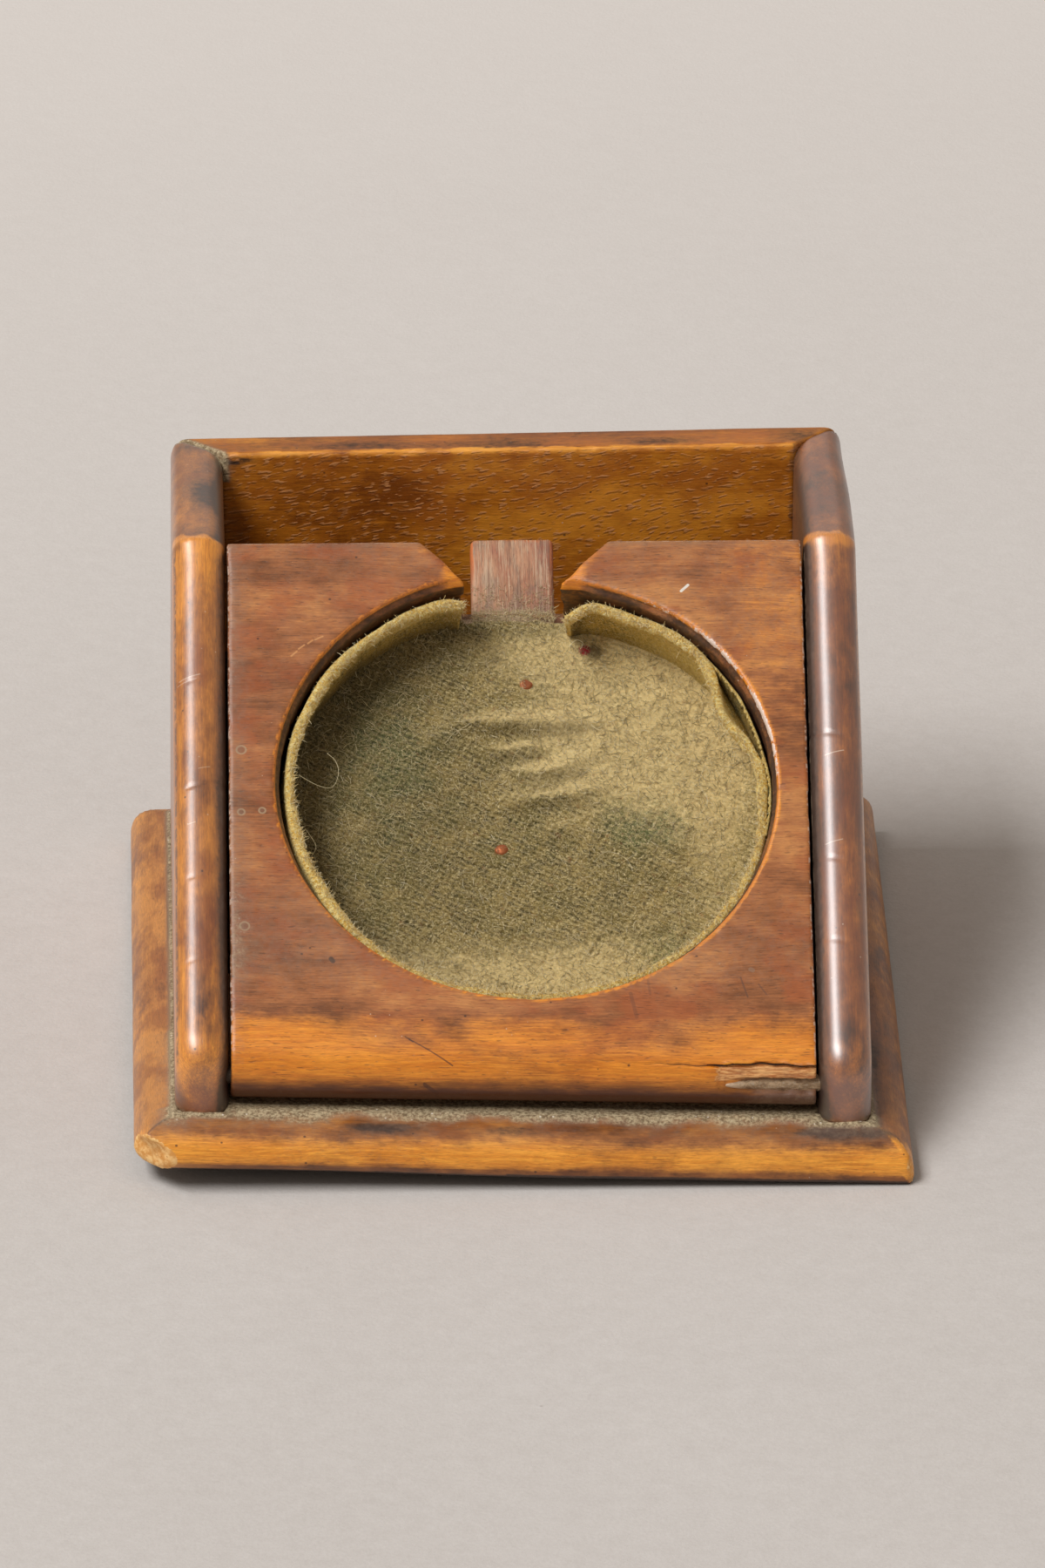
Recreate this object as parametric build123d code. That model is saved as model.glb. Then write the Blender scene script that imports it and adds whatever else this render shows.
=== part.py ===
from build123d import *
import math
import os

# A small lectern-shaped wooden stand for a pocket watch: a box on a moulded base, with a
# sloping front panel that holds the watch in a round felt-lined recess and turns on two
# nails near its lower edge. Millimetres. Origin: centre of the underside of the base.
# +X to the right, +Y to the back, +Z up; the panel faces -Y.

# ---------------------------------------------------------------- driving dimensions
base_width = 83.0            # X
base_depth = 93.0            # Y
base_thickness = 5.0
base_mould_radius = 3.9      # quarter-round run along all four top edges
base_under_radius = 0.7      # small easing of the bottom edge

body_width = 74.4            # outside of the two cheeks
body_depth = 84.4            # front of the feet to the outside of the back board
board_thickness = 5.8        # cheeks and back board
body_top = 50.3              # height of the flat top above the table
foot_height = 7.2            # upright front of a cheek, above the base, before rounding
slope_deg = 35.5             # slope of the cheeks and of the panel
foot_round = 5.0             # rounding between the upright foot and the slope
edge_round = 2.2             # bullnose on the exposed edges of the boards
corner_round = 1.2           # outside back corners

panel_width = 61.9
panel_thickness = 9.5
panel_drop = 1.2             # face of the panel below the crest of the cheeks
panel_top_s = 65.8           # top edge of the panel, measured up the slope
panel_front_set = 1.0        # front of the panel behind the front of the feet
panel_clear = 1.0            # gap between the panel and the base
panel_front_round = 5.0      # slope to upright front
panel_bottom_round = 2.4     # upright front to underside
rim_ease = 0.5               # worn arris around the recess

recess_radius = 27.0         # bare wood
recess_centre_x = 0.8        # the hole was cut slightly to the right of centre
recess_centre_s = 35.2       # up the slope
notch_width = 10.9           # narrowest, for the pendant of the watch
notch_mouth = 20.4           # at the top edge
notch_bevel_depth = 4.75

floor_board_thickness = 2.0
floor_board_width = 57.2
floor_board_margin = 1.6     # past the edge of the hole, below and above

lath_width = 9.1
lath_thickness = 2.5
lath_top_s = 73.3            # the finger tongue stands 7.5 mm above the panel's top edge
lath_bottom_s = 26.0
lath_corner = 0.9

felt_thickness = 1.0
felt_wall_height = 6.4
felt_gap_half_deg = 13.6     # half of the opening of the wall strip at the notch
felt_clear = 0.05

pin_radius = 0.75            # the two small pins in the felt
pin_positions = ((1.25, 52.6), (-1.7, 31.7))   # x, up the slope

pivot_back = 2.6             # pivot axis behind the front of the feet
pivot_up = 3.7               # and above the base
nail_radius = 0.9
nail_play = 0.05             # running clearance in the panel, each side
nail_reach = 9.6             # into the panel
nail_point = 1.8             # length of the pointed end
nail_head_radius = 1.25
nail_head_height = 0.7
nail_head_sink = 0.3         # head punched just below the face of the cheek

stop_width = 2.3             # ledge inside each cheek, across
stop_height = 2.6            # ledge, square to the slope
stop_s = (18.0, 58.0)        # ledge along the slope
stop_clear = 0.05            # between the ledge and the resting panel

base_nail_radius = 0.8
base_nail_head_radius = 1.5
base_nail_head_height = 0.5
base_nail_sink = 0.3         # heads sit above the underside of the base
base_nail_length = 14.0
base_nail_y = (-26.0, 24.0)

# ---------------------------------------------------------------- derived
y_front = -body_depth / 2
y_back = body_depth / 2
z_base = base_thickness
beta = math.radians(slope_deg)
cb, sb = math.cos(beta), math.sin(beta)
z_crest = z_base + foot_height
y_crest_end = y_front + (body_top - z_crest) / math.tan(beta)
x_out = body_width / 2
x_in = x_out - board_thickness
y_in = y_back - board_thickness

# frame of the slope: local x = X, local y = s (up the slope), local z = n (square to it)
slope = Plane(origin=(0, y_front, z_crest), x_dir=(1, 0, 0), z_dir=(0, -sb, cb))


def yz(s, n):
    """A point of the slope frame, as (Y, Z)."""
    return (y_front + s * cb - n * sb, z_crest + s * sb + n * cb)


def side_solid(points, half_width, rounds=()):
    """A prism whose outline is given in the YZ plane, centred on X = 0.
    rounds holds (point index, radius)."""
    outline = Plane.YZ * make_face(Polyline(*points, close=True))
    for index, radius in rounds:
        y, z = points[index]
        vertex = outline.vertices().sort_by_distance((0, y, z))[0]
        outline = fillet(vertex, radius)
    return extrude(outline, half_width, both=True)


def edges_near(solid, test):
    return [e for e in solid.edges() if test(e)]


# ---------------------------------------------------------------- base
base = Pos(0, 0, base_thickness / 2) * Box(base_width, base_depth, base_thickness)
base = fillet(base.faces().sort_by(Axis.Z)[-1].edges(), base_mould_radius)
base = fillet(base.faces().sort_by(Axis.Z)[0].edges(), base_under_radius)

# ---------------------------------------------------------------- cheeks and back board
# The three boards are shaped as one U, so that the rounded edge runs on round the corners,
# and then parted on the two mitre planes.
outline = Plane.XY.offset(z_base) * (
    Pos(0, 0) * Rectangle(body_width, body_depth)
)
shell = extrude(outline, body_top - z_base)
cavity = Pos(0, (y_in + y_front - 10) / 2, (z_base + body_top) / 2) * Box(
    2 * x_in, y_in - y_front + 10, body_top - z_base + 2
)
shell = shell - cavity
corner_edges = [
    e
    for e in shell.edges().filter_by(Axis.Z)
    if abs(abs(e.center().X) - x_out) < 1e-3 and abs(e.center().Y - y_back) < 1e-3
]
shell = fillet(corner_edges, corner_round)
above = side_solid(
    [
        (y_front - 5, z_base - 1),
        (y_front, z_base - 1),
        (y_front, z_crest),
        (y_crest_end, body_top),
        (y_crest_end, body_top + 5),
        (y_front - 5, body_top + 5),
    ],
    body_width,
    rounds=((2, foot_round),),
)
shell = shell - above


def exposed(e):
    c = e @ 0.5
    a, b = e @ 0, e @ 1
    if max(a.Z, b.Z, c.Z) < z_base + 1e-3:
        return False                       # on the base
    if abs(c.X) > x_in + 0.5 and abs(c.X) < x_out - 0.5 and abs(c.Y - y_in) > 6.5 and abs(c.Y - y_back) > 0.5:
        return False                       # the cross edge where the slope meets the top
    if abs(c.Y - y_in) < 1e-3 and abs(a.X - b.X) < 1e-3:
        return False                       # inside upright corner
    if abs(c.Y - y_back) < corner_round + 1e-3 and abs(a.Z - b.Z) > 1:
        return False                       # outside upright corner
    return True


shell = fillet(edges_near(shell, exposed), edge_round)


def mitre_keep(sign):
    """The half of space that holds one cheek, in front of its mitre plane."""
    reach = 200
    pts = [
        (sign * x_in, y_in),
        (sign * (x_in + reach), y_in + reach),
        (sign * (x_in + reach), y_in - 3 * reach),
        (sign * x_in, y_in - 3 * reach),
    ]
    return Pos(0, 0, -50) * extrude(make_face(Polyline(*pts, close=True)), 200)


left_cheek = shell & mitre_keep(-1)
right_cheek = shell & mitre_keep(1)
back_board = shell - mitre_keep(-1) - mitre_keep(1)

# ---------------------------------------------------------------- pivot nails
y_pivot = y_front + pivot_back
z_pivot = z_base + pivot_up


def along_x(x0, x1, r0, r1=None):
    """A cylinder or cone on the pivot axis from x0 to x1."""
    r1 = r0 if r1 is None else r1
    length = abs(x1 - x0)
    turn = 90 if x1 > x0 else -90
    shape = Cylinder(r0, length) if r0 == r1 else Cone(r0, r1, length)
    return Pos((x0 + x1) / 2, y_pivot, z_pivot) * Rot(0, turn, 0) * shape


def pivot_nail(sign):
    x_head = sign * (x_out - nail_head_sink)
    x_neck = x_head - sign * nail_head_height
    x_tip = sign * (panel_width / 2 - nail_reach)
    x_cone = x_tip + sign * nail_point
    return (
        along_x(x_head, x_neck, nail_head_radius)
        + along_x(x_neck, x_cone, nail_radius)
        + along_x(x_cone, x_tip, nail_radius, 0.15)
    )


def cheek_bore(sign):
    return along_x(
        sign * (x_out + 1), sign * (x_out - nail_head_sink - nail_head_height), nail_head_radius
    ) + along_x(sign * x_out, sign * (x_in - 1), nail_radius)


left_pivot_nail = pivot_nail(-1)
right_pivot_nail = pivot_nail(1)
left_cheek = left_cheek - cheek_bore(-1)
right_cheek = right_cheek - cheek_bore(1)

# ---------------------------------------------------------------- nails through the base
x_mid = x_out - board_thickness / 2
base_nails = []
for x in (-x_mid, x_mid):
    for y in base_nail_y:
        head = Pos(x, y, base_nail_sink + base_nail_head_height / 2) * Cylinder(
            base_nail_head_radius, base_nail_head_height
        )
        z0 = base_nail_sink + base_nail_head_height
        shank = Pos(x, y, z0 + base_nail_length / 2) * Cylinder(
            base_nail_radius, base_nail_length
        )
        point = Pos(x, y, z0 + base_nail_length + 0.8) * Cone(base_nail_radius, 0.15, 1.6)
        nail = head + shank + point
        base_nails.append(nail)
        well = Pos(x, y, (base_nail_sink + base_nail_head_height) / 2 - 0.5) * Cylinder(
            base_nail_head_radius, base_nail_sink + base_nail_head_height + 1
        )
        base = base - well - nail
        if x < 0:
            left_cheek = left_cheek - nail
        else:
            right_cheek = right_cheek - nail

# ---------------------------------------------------------------- ledges
def stop_ledge(sign):
    s0, s1 = stop_s
    n1 = -panel_drop - panel_thickness - stop_clear
    ledge = Pos(
        sign * (x_in - stop_width / 2), (s0 + s1) / 2, n1 - stop_height / 2
    ) * Box(stop_width, s1 - s0, stop_height)
    return slope * ledge


left_stop = stop_ledge(-1)
right_stop = stop_ledge(1)

# ---------------------------------------------------------------- front panel
n_face = -panel_drop
n_rear = -panel_drop - panel_thickness
y_nose = y_front + panel_front_set
z_under = z_base + panel_clear
# where the face meets the upright front, and where the rear meets the underside
s_nose = (y_nose - y_front + n_face * sb) / cb
z_nose = yz(s_nose, n_face)[1]
s_heel = (z_under - z_crest - n_rear * cb) / sb
heel = yz(s_heel, n_rear)
front_panel = side_solid(
    [
        yz(panel_top_s, n_face),
        (y_nose, z_nose),
        (y_nose, z_under),
        heel,
        yz(panel_top_s, n_rear),
    ],
    panel_width / 2,
    rounds=((1, panel_front_round), (2, panel_bottom_round)),
)
recess = slope * (
    Pos(recess_centre_x, recess_centre_s, n_face - 20) * Cylinder(recess_radius, 60)
)
half_mouth, half_notch = notch_mouth / 2, notch_width / 2
notch_outline = make_face(
    Polyline(
        (-half_mouth - 2, panel_top_s + 2),
        (-half_notch, panel_top_s - notch_bevel_depth),
        (-half_notch, recess_centre_s),
        (half_notch, recess_centre_s),
        (half_notch, panel_top_s - notch_bevel_depth),
        (half_mouth + 2, panel_top_s + 2),
        close=True,
    )
)
notch = slope * (Pos(0, 0, -30) * extrude(notch_outline, 60))
front_panel = front_panel - recess - notch
# easing of the rim of the recess
rim_edges = [
    e
    for e in front_panel.edges().filter_by(GeomType.CIRCLE)
    if abs(e.radius - recess_radius) < 1e-3
    and abs(slope.to_local_coords(e.arc_center).Z - n_face) < 1e-3
]
front_panel = fillet(rim_edges, rim_ease)
# holes for the pivot nails
for sign in (-1, 1):
    x_open = sign * (panel_width / 2 + 1)
    x_end = sign * (panel_width / 2 - nail_reach - 0.4)
    front_panel = front_panel - along_x(x_open, x_end, nail_radius + nail_play)

# ---------------------------------------------------------------- floor of the recess
floor_bottom = recess_centre_s - recess_radius - floor_board_margin
floor_top = recess_centre_s + recess_radius + 0.2
recess_floor = slope * (
    Pos(
        0,
        (floor_bottom + floor_top) / 2,
        n_rear - floor_board_thickness / 2,
    )
    * Box(floor_board_width, floor_top - floor_bottom, floor_board_thickness)
)

# ---------------------------------------------------------------- lath with the finger tongue
n_lath = n_rear - floor_board_thickness
lath_outline = Pos(0, (lath_bottom_s + lath_top_s) / 2) * Rectangle(
    lath_width, lath_top_s - lath_bottom_s
)
lath_outline = fillet(
    lath_outline.vertices().group_by(Axis.Y)[-1], lath_corner
)
tongue_lath = slope * (Pos(0, 0, n_lath - lath_thickness) * extrude(lath_outline, lath_thickness))

# ---------------------------------------------------------------- felts
felt_floor = slope * (
    Pos(recess_centre_x, recess_centre_s, n_rear + felt_thickness / 2)
    * Cylinder(recess_radius - felt_clear, felt_thickness)
)
ring_bottom = n_rear + felt_thickness + felt_clear
ring = Pos(recess_centre_x, recess_centre_s, ring_bottom + felt_wall_height / 2) * (
    Cylinder(recess_radius - felt_clear, felt_wall_height)
    - Cylinder(recess_radius - felt_clear - felt_thickness, felt_wall_height + 2)
)
gap_reach = 60
gap_x = gap_reach * math.tan(math.radians(felt_gap_half_deg))
gap = Pos(recess_centre_x, recess_centre_s, -30) * extrude(
    make_face(Polyline((0, 0), (gap_x, gap_reach), (-gap_x, gap_reach), close=True)), 60
)
felt_wall = slope * (ring - gap)

# ---------------------------------------------------------------- pins through felt, floor and lath
tongue_pins = []
for px, ps in pin_positions:
    n_top = n_rear + felt_thickness + 0.15
    n_low = n_lath - lath_thickness
    shank = Pos(px, ps, (n_top + n_low) / 2) * Cylinder(pin_radius, n_top - n_low)
    pin = slope * shank
    tongue_pins.append(pin)
    recess_floor = recess_floor - pin
    tongue_lath = tongue_lath - pin
    felt_floor = felt_floor - pin

# ---------------------------------------------------------------- output
nodes = {
    "base_plate": base,
    "left_cheek": left_cheek,
    "right_cheek": right_cheek,
    "back_board": back_board,
    "left_stop": left_stop,
    "right_stop": right_stop,
    "left_pivot_nail": left_pivot_nail,
    "right_pivot_nail": right_pivot_nail,
    "base_nails": Compound(base_nails),
    "front_panel": front_panel,
    "recess_floor": recess_floor,
    "tongue_lath": tongue_lath,
    "tongue_pins": Compound(tongue_pins),
    "felt_floor": felt_floor,
    "felt_wall": felt_wall,
}
os.makedirs("parts", exist_ok=True)
for name, shape in nodes.items():
    shape.label = name
    export_step(shape, "parts/%s.step" % name)

radius_of_bore = recess_radius - felt_clear - felt_thickness
mouth = yz(recess_centre_s, ring_bottom + felt_wall_height / 2)
print("pivot Y Z:", round(y_pivot, 3), round(z_pivot, 3))
print("recess bore radius:", radius_of_bore, "length:", felt_wall_height)
print("recess bore centre Y Z:", round(mouth[0], 4), round(mouth[1], 4), "axis:", 0, round(-sb, 6), round(cb, 6))
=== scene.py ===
import math

import bpy
import numpy as np
from mathutils import Matrix, Vector


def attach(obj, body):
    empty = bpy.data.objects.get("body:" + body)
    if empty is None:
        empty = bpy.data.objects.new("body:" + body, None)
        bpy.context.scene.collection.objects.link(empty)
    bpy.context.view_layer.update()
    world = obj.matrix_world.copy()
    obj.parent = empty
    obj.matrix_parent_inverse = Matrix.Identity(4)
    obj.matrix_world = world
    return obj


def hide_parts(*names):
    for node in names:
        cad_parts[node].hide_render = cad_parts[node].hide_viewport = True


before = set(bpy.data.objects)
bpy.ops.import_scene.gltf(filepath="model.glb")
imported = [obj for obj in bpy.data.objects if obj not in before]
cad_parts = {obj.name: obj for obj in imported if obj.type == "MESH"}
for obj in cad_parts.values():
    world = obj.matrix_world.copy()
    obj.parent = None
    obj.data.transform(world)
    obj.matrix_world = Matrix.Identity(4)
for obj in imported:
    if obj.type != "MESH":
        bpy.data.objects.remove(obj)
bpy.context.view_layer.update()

# A lectern-shaped wooden stand for a pocket watch. Every length below is in millimetres in the
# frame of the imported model; the meshes are written in metres.
BETA = math.radians(35.5)
CB, SB = math.cos(BETA), math.sin(BETA)
Y0, Z0 = -42.2, 12.2          # crest of the cheeks at the front: s = 0, n = 0
TWIST = 0.00045               # the old base has warped: dz = TWIST * x * y
FLOOR_DROP = 0.86


def smooth(a, b, x):
    t = np.clip((x - a) / (b - a), 0.0, 1.0)
    return t * t * (3 - 2 * t)


def mix(a, b, t):
    return a * (1 - t) + b * t


def to_world(x, s, n):
    return np.stack([x, Y0 + s * CB - n * SB, Z0 + s * SB + n * CB], -1)


def to_slope(p):
    y, z = p[..., 1] - Y0, p[..., 2] - Z0
    return np.stack([p[..., 0], y * CB + z * SB, -y * SB + z * CB], -1)


# ------------------------------------------------------------------ noise
def _hash(ix, iy, iz, seed):
    h = (
        ix.astype(np.uint32) * np.uint32(73856093)
        ^ iy.astype(np.uint32) * np.uint32(19349663)
        ^ iz.astype(np.uint32) * np.uint32(83492791)
        ^ np.uint32((seed * 2654435761) & 0xFFFFFFFF)
    )
    h ^= h >> np.uint32(15)
    h *= np.uint32(0x2C1B3C6D)
    h ^= h >> np.uint32(12)
    h *= np.uint32(0x297A2D39)
    h ^= h >> np.uint32(15)
    return h.astype(np.float64) / 2147483647.5 - 1.0


def noise(x, y, z, seed=0):
    """Smooth value noise in -1..1 with a period of one unit."""
    x, y, z = np.broadcast_arrays(x, y, z)
    fx, fy, fz = np.floor(x), np.floor(y), np.floor(z)
    ix, iy, iz = (f.astype(np.int64) & 0xFFFFFFFF for f in (fx, fy, fz))
    tx, ty, tz = x - fx, y - fy, z - fz
    tx, ty, tz = (t * t * t * (t * (6 * t - 15) + 10) for t in (tx, ty, tz))
    out = 0.0
    for dx in (0, 1):
        wx = tx if dx else 1 - tx
        for dy in (0, 1):
            wy = ty if dy else 1 - ty
            for dz in (0, 1):
                wz = tz if dz else 1 - tz
                out = out + wx * wy * wz * _hash(
                    (ix + dx) & 0xFFFFFFFF, (iy + dy) & 0xFFFFFFFF, (iz + dz) & 0xFFFFFFFF, seed
                )
    return out


def fbm(x, y, z, octaves=3, seed=0, gain=0.5):
    total, amp, norm = 0.0, 1.0, 0.0
    for k in range(octaves):
        f = 2.0**k
        total = total + amp * noise(x * f + 17.3 * k, y * f - 9.1 * k, z * f + 4.7 * k, seed + k)
        norm += amp
        amp *= gain
    return total / norm


# ------------------------------------------------------------------ shapes as distance fields
def rint(a, b, r):
    """Where both a and b are negative, with the edge between them rounded to radius r."""
    return np.minimum(-r, np.maximum(a, b)) + np.hypot(np.maximum(r + a, 0), np.maximum(r + b, 0))


def fillet_poly(points, radii, seg=8):
    out = []
    n = len(points)
    for i in range(n):
        p = np.array(points[i], float)
        a = np.array(points[i - 1], float) - p
        b = np.array(points[(i + 1) % n], float) - p
        a /= np.linalg.norm(a)
        b /= np.linalg.norm(b)
        r = radii[i]
        if r <= 0:
            out.append(p)
            continue
        half = math.acos(float(np.clip(a @ b, -1, 1))) / 2
        t = r / math.tan(half)
        bis = (a + b) / np.linalg.norm(a + b)
        c = p + bis * (r / math.sin(half))
        u, v = p + a * t - c, p + b * t - c
        a0 = math.atan2(u[1], u[0])
        d = (math.atan2(v[1], v[0]) - a0 + math.pi) % (2 * math.pi) - math.pi
        for k in range(seg + 1):
            ang = a0 + d * k / seg
            out.append(c + r * np.array([math.cos(ang), math.sin(ang)]))
    return np.array(out)


def sd_poly(px, py, pts):
    """Signed distance to a closed outline in the plane, negative inside."""
    px, py = np.broadcast_arrays(np.asarray(px, float), np.asarray(py, float))
    best = np.full(px.shape, 1e18)
    inside = np.zeros(px.shape, bool)
    n = len(pts)
    for i in range(n):
        ax, ay = pts[i]
        bx, by = pts[(i + 1) % n]
        ex, ey = bx - ax, by - ay
        wx, wy = px - ax, py - ay
        ll = ex * ex + ey * ey
        if ll < 1e-14:
            continue
        t = np.clip((wx * ex + wy * ey) / ll, 0, 1)
        np.minimum(best, (wx - ex * t) ** 2 + (wy - ey * t) ** 2, out=best)
        up = (ay > py) != (by > py)
        if ey != 0:
            inside ^= up & (px < ex * (py - ay) / ey + ax)
    d = np.sqrt(best)
    return np.where(inside, -d, d)


def stations(lo, hi, h, spans=()):
    """Grid lines from lo to hi, h apart, or as far apart as a span (from, to, step) asks."""
    out = [lo]
    while out[-1] < hi:
        step = h
        for a, b, s in spans:
            if a <= out[-1] < b:
                step = s
        out.append(out[-1] + step)
    return np.array(out)


def surface_nets(f, lo, hi, h, spans=((), (), ())):
    """Vertices and quads of f = 0. f takes three arrays that broadcast together."""
    ax = [stations(lo[k], hi[k], h, spans[k]) for k in range(3)]
    dims = np.array([len(a) for a in ax])
    F = np.broadcast_to(
        f(ax[0][:, None, None], ax[1][None, :, None], ax[2][None, None, :]), tuple(dims)
    ).astype(np.float64)
    cells = tuple(dims - 1)
    acc = np.zeros(cells + (3,))
    cnt = np.zeros(cells)
    inside = F < 0
    crossings = []
    for k in range(3):
        a = [slice(None)] * 3
        b = [slice(None)] * 3
        a[k], b[k] = slice(0, -1), slice(1, None)
        ia, ib = inside[tuple(a)], inside[tuple(b)]
        idx = np.argwhere(ia != ib)
        fa = F[tuple(a)][tuple(idx.T)]
        fb = F[tuple(b)][tuple(idx.T)]
        pos = np.stack([ax[m][idx[:, m]] for m in range(3)], -1)
        pos[:, k] += fa / (fa - fb) * (ax[k][idx[:, k] + 1] - ax[k][idx[:, k]])
        o1, o2 = [m for m in range(3) if m != k]
        for d1 in (0, -1):
            for d2 in (0, -1):
                c = idx.copy()
                c[:, o1] += d1
                c[:, o2] += d2
                ok = (c >= 0).all(1) & (c < np.array(cells)).all(1)
                c, p = c[ok], pos[ok]
                np.add.at(acc, tuple(c.T), p)
                np.add.at(cnt, tuple(c.T), 1)
        crossings.append((k, idx, ia[tuple(idx.T)]))
    active = cnt > 0
    number = np.full(cells, -1, np.int64)
    number[active] = np.arange(active.sum())
    verts = acc[active] / cnt[active][:, None]
    quads = []
    for k, idx, sign in crossings:
        o1, o2 = (k + 1) % 3, (k + 2) % 3
        ok = (idx[:, o1] > 0) & (idx[:, o2] > 0) & (idx[:, o1] < cells[o1]) & (idx[:, o2] < cells[o2])
        idx, sign = idx[ok], sign[ok]
        ring = []
        for d1, d2 in ((-1, -1), (0, -1), (0, 0), (-1, 0)):
            c = idx.copy()
            c[:, o1] += d1
            c[:, o2] += d2
            ring.append(number[tuple(c.T)])
        q = np.stack(ring, 1)
        q[~sign] = q[~sign][:, ::-1]
        quads.append(q)
    return verts, np.concatenate(quads)


def gradient(f, P, e=0.03):
    g = np.empty_like(P)
    for k in range(3):
        d = np.zeros(3)
        d[k] = e
        A, B = P + d, P - d
        g[:, k] = (f(A[:, 0], A[:, 1], A[:, 2]) - f(B[:, 0], B[:, 1], B[:, 2])) / (2 * e)
    return g


def project(f, P, rounds=3, step=0.4):
    for _ in range(rounds):
        v = f(P[:, 0], P[:, 1], P[:, 2])
        g = gradient(f, P)
        gg = np.maximum((g * g).sum(1), 1e-3)
        m = g * (v / gg)[:, None]
        size = np.linalg.norm(m, axis=1)
        m *= np.minimum(1, step / np.maximum(size, 1e-9))[:, None]
        P = P - m
    g = gradient(f, P)
    return P, g / np.maximum(np.linalg.norm(g, axis=1), 1e-9)[:, None]


def convexity(f, P, N, r):
    """0 on a flat face, near 1 on a thin edge."""
    Q = P - N * r
    return np.clip(1 + f(Q[:, 0], Q[:, 1], Q[:, 2]) / r, 0, 1)


def twist(P):
    Q = P.copy()
    Q[:, 2] += TWIST * P[:, 0] * P[:, 1]
    return Q


# ------------------------------------------------------------------ meshes
def make(name, P, faces, material, body, slot, stands_for=(), attrs=None, warp=True):
    """A new smooth-shaded piece from points in millimetres and quads or triangles."""
    if warp:
        P = twist(P)
    me = bpy.data.meshes.new(name)
    me.from_pydata((P / 1000.0).astype(np.float32), [], [] if faces is None else faces.tolist())
    me.polygons.foreach_set("use_smooth", np.ones(len(me.polygons), bool))
    for key, value in (attrs or {}).items():
        value = np.asarray(value, np.float32)
        kind = "FLOAT_VECTOR" if value.ndim == 2 else "FLOAT"
        a = me.attributes.new(key, kind, "POINT")
        a.data.foreach_set("vector" if value.ndim == 2 else "value", value.ravel())
    me.update()
    obj = bpy.data.objects.new(name, me)
    bpy.context.scene.collection.objects.link(obj)
    me.materials.append(material)
    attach(obj, body)
    if stands_for:
        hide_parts(*([stands_for] if isinstance(stands_for, str) else stands_for))
    return obj


# ------------------------------------------------------------------ shader graphs
def lin(r, g, b):
    """An sRGB colour, 0 to 255, as scene-linear."""
    return tuple(
        (c / 255 / 12.92) if c / 255 <= 0.04045 else ((c / 255 + 0.055) / 1.055) ** 2.4
        for c in (r, g, b)
    ) + (1.0,)


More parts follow.
